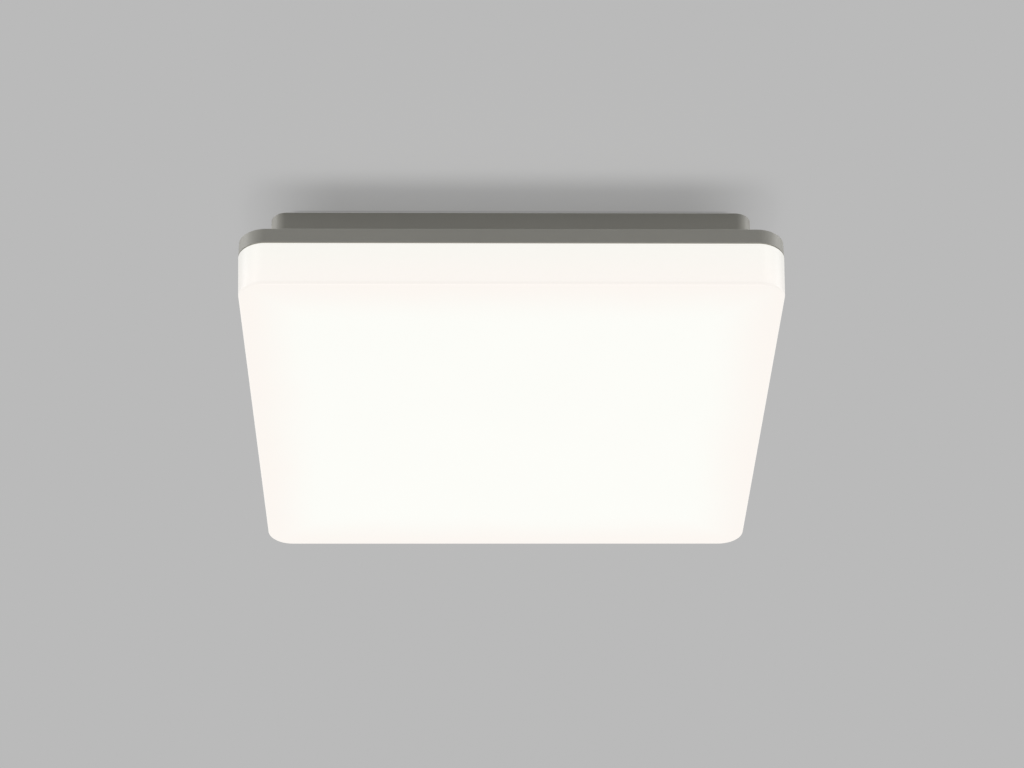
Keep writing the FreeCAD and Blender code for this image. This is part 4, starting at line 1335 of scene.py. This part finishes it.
@dataclass
class Tray(Assembly):
    """White steel gear tray with its screws, the lead bush and the earthing point."""

    screw_place: float = 121.0 * MM
    screw: PanScrew = PanScrew("tray_screws", 3.4 * MM, 2.2 * MM, 1.25 * MM, 9.0 * MM,
                               (0.2, 0.9, 1.3, 0.5))
    earth: PanScrew = PanScrew("earth_screw", 3.6 * MM, 2.2 * MM, 1.9 * MM, 6.0 * MM, (0.4,),
                               BRASS)

    def build(self) -> None:
        """Make and seat the pieces."""
        recast(TRAY_WHITE, "gear_tray")
        recast(SEAL_RUBBER, "lead_bush")
        dressed(TINNED_COPPER, "earth_tag")
        self.screws(self.screw, arc(self.screw_place, 4))
        self.screws(self.earth, [Span.of("earth_screw").centre.xy])


@dataclass(frozen=True)
class Connector:
    """Wire-entry connector that hangs from z = 0, its mouths at the origin and open to +X.

    Its mouths and latch slots are mm: from and to along X, middle and half across, lowest
    and highest.
    """

    length: float = 7.0 * MM
    width: float = 6.0 * MM
    edge: float = 0.25 * MM
    mouths: tuple[float, ...] = (-3.0, 1.0, 0.95, 0.95, -2.6, -0.4)
    latches: tuple[float, ...] = (-5.6, -3.8, 1.5, 0.55, -4.0, -2.2)

    def build(self, tall: float) -> bpy.types.Mesh:
        """Make the connector.

        Args:
            tall: Its height.

        Returns:
            The closed mesh.
        """
        body = MeshWork.box(Vector((-self.length, -self.width / 2, -tall)),
                            Vector((0.0, self.width / 2, 0.0)))
        return MeshWork.worked(body, [*self.pair(*self.mouths), *self.pair(*self.latches)],
                               self.edge)

    @staticmethod
    def pair(x0: float, x1: float, middle: float, half: float, z0: float,
             z1: float) -> list[bpy.types.Mesh]:
        """Two cutters, one each side of y = 0, from sizes in mm."""
        return [MeshWork.box(Vector((x0, side * middle - half, z0)) * MM,
                             Vector((x1, side * middle + half, z1)) * MM) for side in (-1, 1)]


@dataclass
class LedStrips(Assembly):
    """Six strip boards with their LED packages, solder, connectors and jumpers.

    The well's and the resin's profiles are shares of the window's radius and the package's
    height; the solder's outline is shares of its own half length and height.
    """

    rows: int = 6
    chips: int = 10
    chip: Point = (3.5 * MM, 2.8 * MM, 0.7 * MM)
    chip_mark: float = 0.5 * MM
    window_radius: float = 1.05 * MM
    well: tuple[Flat, ...] = ((0.0, 0.35), (0.8, 0.35), (1.1, 1.2), (0.0, 1.2))
    well_steps: int = 20
    resin: tuple[Flat, ...] = ((0.0, 0.96), (0.5, 0.94), (0.97, 0.88), (0.8, 0.4), (0.0, 0.4))
    resin_steps: int = 16
    solder: Point = (0.8 * MM, 0.92 * MM, 0.18 * MM)    # half length, half width, height
    bead: tuple[Flat, ...] = ((-1.0, 0.0), (1.0, 0.0), (0.7, 0.6), (0.0, 1.0), (-0.7, 0.6))
    solder_off: float = 0.35 * MM
    connector: Connector = Connector()
    connector_inset: float = 1.0 * MM
    jumper_half: float = 1.5 * MM
    jumper_end: float = 95.9 * MM
    jumper_bend: float = 4.0 * MM
    jumper_steps: int = 8
    core_radius: float = 0.68 * MM
    core_place: float = 0.72 * MM
    core_steps: int = 12

    def build(self) -> None:
        """Make and seat the pieces."""
        package, window = self.package(), self.turned(self.resin, self.resin_steps)
        for number in range(1, self.rows + 1):
            node = f"led_chips_{number}"
            dressed(BOARD_WHITE, f"led_board_{number}")
            mesh = self.kit.stamp.stamp(package, self.chip_places(number), PACKAGE_WHITE)
            Piece(f"led_packages_{number}", node, mesh).seat()
            mesh = self.kit.stamp.stamp(window, self.chip_places(number), LED_RESIN)
            Piece(f"led_windows_{number}", node, mesh, stands_in=False).seat()
        self.fillets()
        self.connectors()
        for number in range(1, self.rows):
            self.jumper(number)

    def chip_places(self, number: int) -> list[Vector]:
        """Where a board's LED packages hang.

        Args:
            number: The board's number, from the +Y side.

        Returns:
            The middle of each package's upper face.
        """
        span = Span.of(f"led_chips_{number}")
        first = Vector((span.low.x + self.chip[0] / 2, span.centre.y, span.high.z))
        step = Vector(((span.size.x - self.chip[0]) / (self.chips - 1), 0.0, 0.0))
        return [first + step * i for i in range(self.chips)]

    def package(self) -> bpy.types.Mesh:
        """White package with a tapered well, hanging from z = 0, one corner cut as the mark.

        Returns:
            The package's mesh.
        """
        x, y, tall, cut = self.chip[0] / 2, self.chip[1] / 2, self.chip[2], self.chip_mark
        outline = [(-x, -y), (x - cut, -y), (x, cut - y), (x, y), (-x, y)]
        body = MeshWork.extruded([(*point, -tall) for point in outline], (0.0, 0.0, tall))
        return MeshWork.worked(body, [self.turned(self.well, self.well_steps)])

    def turned(self, profile: Sequence[Flat], steps: int) -> bpy.types.Mesh:
        """The well, or the slightly domed resin that fills it, hanging from z = 0."""
        r, tall = self.window_radius, self.chip[2]
        return MeshWork.lathe([(out * r, -down * tall) for out, down in profile], steps)

    def fillets(self) -> None:
        """Solder fillets at both ends of every package, on all the boards."""
        x, y, tall = self.solder
        fillet = MeshWork.slab([(out * x, -down * tall) for out, down in self.bead], y)
        off = Vector((self.chip[0] / 2 + self.solder_off, 0.0, 0.0))
        places = [middle + off * end for number in range(1, self.rows + 1)
                  for middle in self.chip_places(number) for end in (-1, 1)]
        mesh = self.kit.stamp.stamp(fillet, places, SOLDER)
        Piece("solder_fillets", "led_board_1", mesh, stands_in=False).seat()

    def connectors(self) -> None:
        """Connectors of the feed and of both ends of every jumper, on the boards' ends."""
        boards = [Span.of(f"led_board_{number}") for number in range(1, self.rows + 1)]
        level, outer = boards[0].low.z, boards[0].high.x - self.connector_inset
        ends = [(-1, 0)]
        for row in range(self.rows - 1):
            ends += [(-1 if row % 2 else 1, row), (-1 if row % 2 else 1, row + 1)]
        shape = self.connector.build(level - Span.of("board_connectors").low.z)
        mesh = self.kit.stamp.stamp(shape, [(end * outer, boards[row].centre.y, level)
                                            for end, row in ends],
                                    NYLON, [0.0 if end > 0 else math.pi for end, _ in ends])
        Piece("wire_connectors", "board_connectors", mesh).seat()

    def jumper(self, number: int) -> None:
        """Twin-core flat lead in a U from one board to the next.

        Args:
            number: Number of the first of its two boards.
        """
        node = f"jumper_{number}_{number + 1}"
        span = Span.of(node)
        end = 1 if span.centre.x > 0 else -1
        outer = max(abs(span.low.x), abs(span.high.x)) - self.jumper_half
        far, near = span.high.y - self.jumper_half, span.low.y + self.jumper_half
        corners = [(end * self.jumper_end, far), (end * outer, far), (end * outer, near),
                   (end * self.jumper_end, near)]
        line = eased(corners, self.jumper_bend, self.jumper_steps)
        route = curve([(*spot, span.centre.z) for spot in line])
        right = arc(self.core_radius, self.core_steps, (self.core_place, 0.0), -1.5 * QUARTER,
                    3 * QUARTER)
        twin = curve([*right, *((-x, -y) for x, y in right)], closed=True)
        Piece(f"{node}_twin", node, self.kit.drawn.draw(route, twin, WHITE_FLEX)).seat()


@dataclass
class Driver(Assembly):
    """LED driver: case, lid, circuit board, what stands on it and the screws."""

    screw: PanScrew = PanScrew("driver_screws", 2.8 * MM, 1.8 * MM, 1.25 * MM, 3.0 * MM,
                               (0.6, 1.2))

    def build(self) -> None:
        """Make and seat the pieces."""
        recast(DRIVER_WHITE, "driver_case", "driver_lid")
        recast(COMPONENT_BLACK, "driver_components")
        dressed(BOARD_GREEN, "driver_board")
        span = Span.of("driver_screws")
        reach = span.high.x - self.screw.head_radius
        self.screws(self.screw, [(end * reach, span.centre.y) for end in (-1, 1)])


@dataclass
class Terminal(Assembly):
    """Push-in mains terminal with its release buttons."""

    screw: PanScrew = PanScrew("terminal_screw", 2.8 * MM, 1.8 * MM, 1.25 * MM, 14.3 * MM,
                               (0.8,))
    button_edge: float = 0.3 * MM
    slot: Point = (1.5 * MM, 0.4 * MM, 0.6 * MM)    # half length, half width, depth

    def build(self) -> None:
        """Make and seat the pieces."""
        recast(TERMINAL_WHITE, "terminal_body")
        dressed(TINNED_COPPER, "terminal_contacts")
        for pole in ("live", "neutral", "earth"):
            self.button(f"release_button_{pole}")
        self.screws(self.screw, [Span.of("terminal_screw").centre.xy])

    def button(self, node: str) -> None:
        """Release button with rounded edges and a screwdriver slot.

        Args:
            node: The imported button.
        """
        span = Span.of(node)
        half, deep = Vector((*self.slot[:2], 0.0)), Vector((0.0, 0.0, self.slot[2]))
        mouth = Vector((*span.centre.xy, span.low.z))
        slot = MeshWork.box(mouth - half - Vector((0.0, 0.0, MM)), mouth + half + deep)
        mesh = MeshWork.worked(MeshWork.box(span.low, span.high), [slot], self.button_edge)
        Piece(f"{node}_rounded", node, mesh, BUTTON_ORANGE).seat()


@dataclass(frozen=True)
class Wire:
    """One internal lead: the node it stands for, its finish, thickness and route in mm."""

    node: str
    finish: Finish
    across: float
    route: tuple[Point, ...]


@dataclass
class Leads(Assembly):
    """Round insulated leads between terminal, driver, boards and the earthing point, in mm."""

    level: float = -14.0             # along the housing's floor
    tag_level: float = -22.15        # at the earth tag
    drop: float = -32.5              # below the lead bush
    feed: float = -28.1              # at the first board's connector
    mains_across: float = 2.2
    led_across: float = 1.6
    steps: int = 16

    def wires(self) -> list[Wire]:
        """The five leads.

        Returns:
            The leads with their routes.
        """
        level, feed = self.level, self.feed
        live = ((28.4, 7.5, level), (66.0, 7.5, level), (66.0, 69.0, level), (54.0, 69.0, level))
        neutral = ((28.4, 0.0, level), (71.0, 0.0, level), (71.0, 75.0, level),
                   (54.0, 75.0, level))
        earth = ((28.4, -7.5, level), (48.0, -7.5, level), (48.0, -22.5, self.tag_level),
                 (48.0, -33.5, self.tag_level))
        positive = ((-54.0, 75.0, level), (-110.4, 75.0, level), (-110.4, 75.0, self.drop),
                    (-110.4, 99.1, feed), (-96.0, 99.1, feed))
        negative = ((-54.0, 69.0, level), (-113.6, 69.0, level), (-113.6, 69.0, self.drop),
                    (-113.6, 100.9, feed), (-96.0, 100.9, feed))
        return [Wire("live_lead", BROWN_WIRE, self.mains_across, live),
                Wire("neutral_lead", BLUE_WIRE, self.mains_across, neutral),
                Wire("earth_lead", EARTH_WIRE, self.mains_across, earth),
                Wire("led_lead_positive", RED_WIRE, self.led_across, positive),
                Wire("led_lead_negative", BLACK_WIRE, self.led_across, negative)]

    def build(self) -> None:
        """Make and seat the leads."""
        for wire in self.wires():
            route = curve([Vector(point) * MM for point in wire.route], Line.SMOOTH)
            section = curve(arc(wire.across * MM / 2, self.steps), closed=True)
            mesh = self.kit.drawn.draw(route, section, wire.finish)
            Piece(f"{wire.node}_round", wire.node, mesh).seat()


# ---------------------------------------------------------------- studio
@dataclass(frozen=True)
class Lamp:
    """A soft distant lamp: its light on a face square to it, direction and apparent size."""

    name: str
    strength: float
    source: Point
    spread: float                    # degrees; it softens the shadows

    def hang(self) -> None:
        """Put the lamp into the scene."""
        data = bpy.data.lights.new(self.name, "SUN")
        data.energy, data.angle = self.strength, math.radians(self.spread)
        lamp = placed(self.name, data)
        lamp.rotation_mode = "QUATERNION"
        lamp.rotation_quaternion = Vector(self.source).to_track_quat("Z", "Y")


@dataclass(frozen=True)
class PhotoCamera:
    """The camera, below and before the light, looking up at it at the photograph's angle."""

    target: Point = (2.12 * MM, 0.0, -30.15 * MM)
    distance: float = 1.625
    rise: float = 31.5               # degrees that it looks up
    swing: float = 1.08              # degrees that it looks towards +X
    roll: float = -0.52              # degrees about its own axis
    lens: float = 96.55              # mm, for a sensor 36 mm wide
    sensor: float = 36.0
    clips: Flat = (0.05, 50.0)

    def stand(self) -> None:
        """Put the camera into the scene."""
        e, s, r = (math.radians(angle) for angle in (self.rise, self.swing, self.roll))
        ahead = Vector((math.sin(s) * math.cos(e), math.cos(s) * math.cos(e), math.sin(e)))
        level = Vector((math.cos(s), -math.sin(s), 0.0))
        upright = level.cross(ahead)
        right = level * math.cos(r) + upright * math.sin(r)
        up = upright * math.cos(r) - level * math.sin(r)
        data = bpy.data.cameras.new("photo_camera")
        data.lens, data.sensor_width, data.sensor_fit = self.lens, self.sensor, "HORIZONTAL"
        data.clip_start, data.clip_end = self.clips
        camera = placed("photo_camera", data)
        turn = Matrix((right, up, -ahead)).transposed().to_4x4()
        place = Vector(self.target) - ahead * self.distance
        camera.matrix_world = Matrix.Translation(place) @ turn
        bpy.context.scene.camera = camera


@dataclass(frozen=True)
class Studio:
    """Ceiling, lamps, world and camera; none of it belongs to the light."""

    backdrop: float = 0.491
    ambient: float = 0.5
    ceiling_colour: Colour = (0.514, 0.514, 0.514)
    ceiling_half: float = 4.0
    opening_half: float = 132.8 * MM
    opening_corner: float = 8.4 * MM
    corner_steps: int = 6
    lift: float = 0.2 * MM
    shading: float = 0.49                          # share of the light's shadow that shows
    shading_ends: Flat = (90 * MM, 165 * MM)       # along X, where it starts to fade and ends
    # painted contact shadow along the back box's sides
    contact_shade_width: float = 2.5 * MM
    contact_shade_depth: float = 0.3
    lamps: tuple[Lamp, ...] = (Lamp("left_fill", 2.0, (-1.0, 0.0, 0.3), 30.0),
                               Lamp("right_fill", 1.9, (1.0, 0.0, 0.3), 30.0),
                               Lamp("far_key", 1.46, (0.0, 0.24, -0.971), 22.0),
                               Lamp("back_fill", 0.3, (0.0, 0.0, 1.0), 40.0))

    def build(self) -> None:
        """Make the studio."""
        self.world()
        self.ceiling()
        for lamp in self.lamps:
            lamp.hang()
        PhotoCamera().stand()

    def world(self) -> None:
        """Even ambient light, with the backdrop's grey where it is seen."""
        world = bpy.data.worlds.new("studio_world")
        world.cycles.sampling_method = "NONE"
        bpy.context.scene.world = world
        world.use_nodes = True
        work = NodeWork(world.node_tree)
        work.tree.nodes.clear()
        white, grey = (1.0, 1.0, 1.0, 1.0), (*(self.backdrop,) * 3, 1.0)
        light = work.node("ShaderNodeBackground", {}, {"Color": white, "Strength": self.ambient})
        shown = work.node("ShaderNodeBackground", {}, {"Color": grey, "Strength": 1.0})
        path = work.node("ShaderNodeLightPath")
        mixed = work.node("ShaderNodeMixShader", {}, {0: self.seen(work, path),
                                                      1: light.outputs[0], 2: shown.outputs[0]})
        work.node("ShaderNodeOutputWorld", {}, {"Surface": mixed.outputs[0]})

    @staticmethod
    def seen(work: NodeWork, path: bpy.types.Node) -> Socket:
        """1 for rays from the camera, directly or by reflection or through glass.

        Args:
            work: Node work that holds the path node.
            path: Its Light Path node.

        Returns:
            The mask.
        """
        camera, glossy, through = (Socket(work, path.outputs[name]) for name in
                                   ("Is Camera Ray", "Is Glossy Ray", "Is Transmission Ray"))
        return (camera + glossy + through).math("MINIMUM", 1.0)

    def ceiling(self) -> None:
        """Plain ceiling, seen from below only, with the back box standing in its opening."""
        outer = [(self.ceiling_half * x, self.ceiling_half * y) for x, y in CORNERS]
        straight = self.opening_half - self.opening_corner
        inner = [spot for (x, y), turn in zip(CORNERS, SIDE_TURNS)
                 for spot in arc(self.opening_corner, self.corner_steps,
                                 (x * straight, y * straight), turn, QUARTER)]
        work = bmesh.new()
        edges = []
        for loop in (outer, inner):
            verts = [work.verts.new((x, y, self.lift)) for x, y in loop]
            edges += [work.edges.new((verts[i - 1], verts[i])) for i in range(len(verts))]
        bmesh.ops.triangle_fill(work, edges=edges, use_beauty=True, use_dissolve=False)
        for face in work.faces:
            if face.normal.z > 0:
                face.normal_flip()
        mesh = bpy.data.meshes.new("ceiling")
        work.to_mesh(mesh)
        work.free()
        mesh.materials.append(self.ceiling_material())
        placed("ceiling", mesh)

    def ceiling_material(self) -> bpy.types.Material:
        """Matt paint from below, nothing from above or to the lamps behind it.

        The light's shadow is painted out towards its ends, and a painted contact shadow runs dark
        along the back box.

        Returns:
            The material.
        """
        shader = Shader("ceiling_paint")
        x, y, _ = shader.place()
        # painted contact shadow: a narrow dark band along the back box's ±Y sides, short of its
        # corners
        off = (abs(y) - self.opening_half).ramp(0.0, self.contact_shade_width)
        past = abs(x).ramp(self.opening_half - 2 * self.opening_corner,
                           self.opening_half - self.opening_corner)
        contact_shade = 1.0 - (1.0 - off) * (1.0 - past) * self.contact_shade_depth
        paint = shader.node("ShaderNodeBsdfDiffuse", {},
                            {"Color": shader.toned(self.ceiling_colour, contact_shade)})
        plain = shader.node("ShaderNodeEmission", {},
                            {"Color": shader.toned((self.backdrop,) * 3, contact_shade),
                             "Strength": 1.0})
        path = shader.node("ShaderNodeLightPath")
        # the shadow is painted out towards its ends by a growing share of plain grey
        shadow = (1.0 - abs(x).ramp(*self.shading_ends)) * self.shading
        soft = shader.node("ShaderNodeMixShader", {},
                           {0: self.seen(shader, path) * (1.0 - shadow), 1: paint.outputs[0],
                            2: plain.outputs[0]})
        above = Socket(shader, shader.node("ShaderNodeNewGeometry").outputs["Backfacing"])
        lit = 1.0 - Socket(shader, path.outputs["Is Shadow Ray"])
        clear = shader.node("ShaderNodeBsdfTransparent")
        whole = shader.node("ShaderNodeMixShader", {},
                            {0: lit * (1.0 - above), 1: clear.outputs[0], 2: soft.outputs[0]})
        shader.node("ShaderNodeOutputMaterial", {}, {"Surface": whole.outputs[0]})
        return shader.material


def main() -> None:
    """Build the studio and dress every sub-assembly of the light."""
    logging.basicConfig(level=logging.INFO, format="%(name)s: %(message)s")
    bpy.context.scene.view_settings.view_transform = "Standard"
    Studio().build()
    kit = Kit()
    for assembly in (Housing, Diffuser, Clips, Tray, LedStrips, Driver, Terminal, Leads):
        assembly(kit).build()
        log.info("%s done", assembly.__name__)


if __name__ == "__main__":
    main()
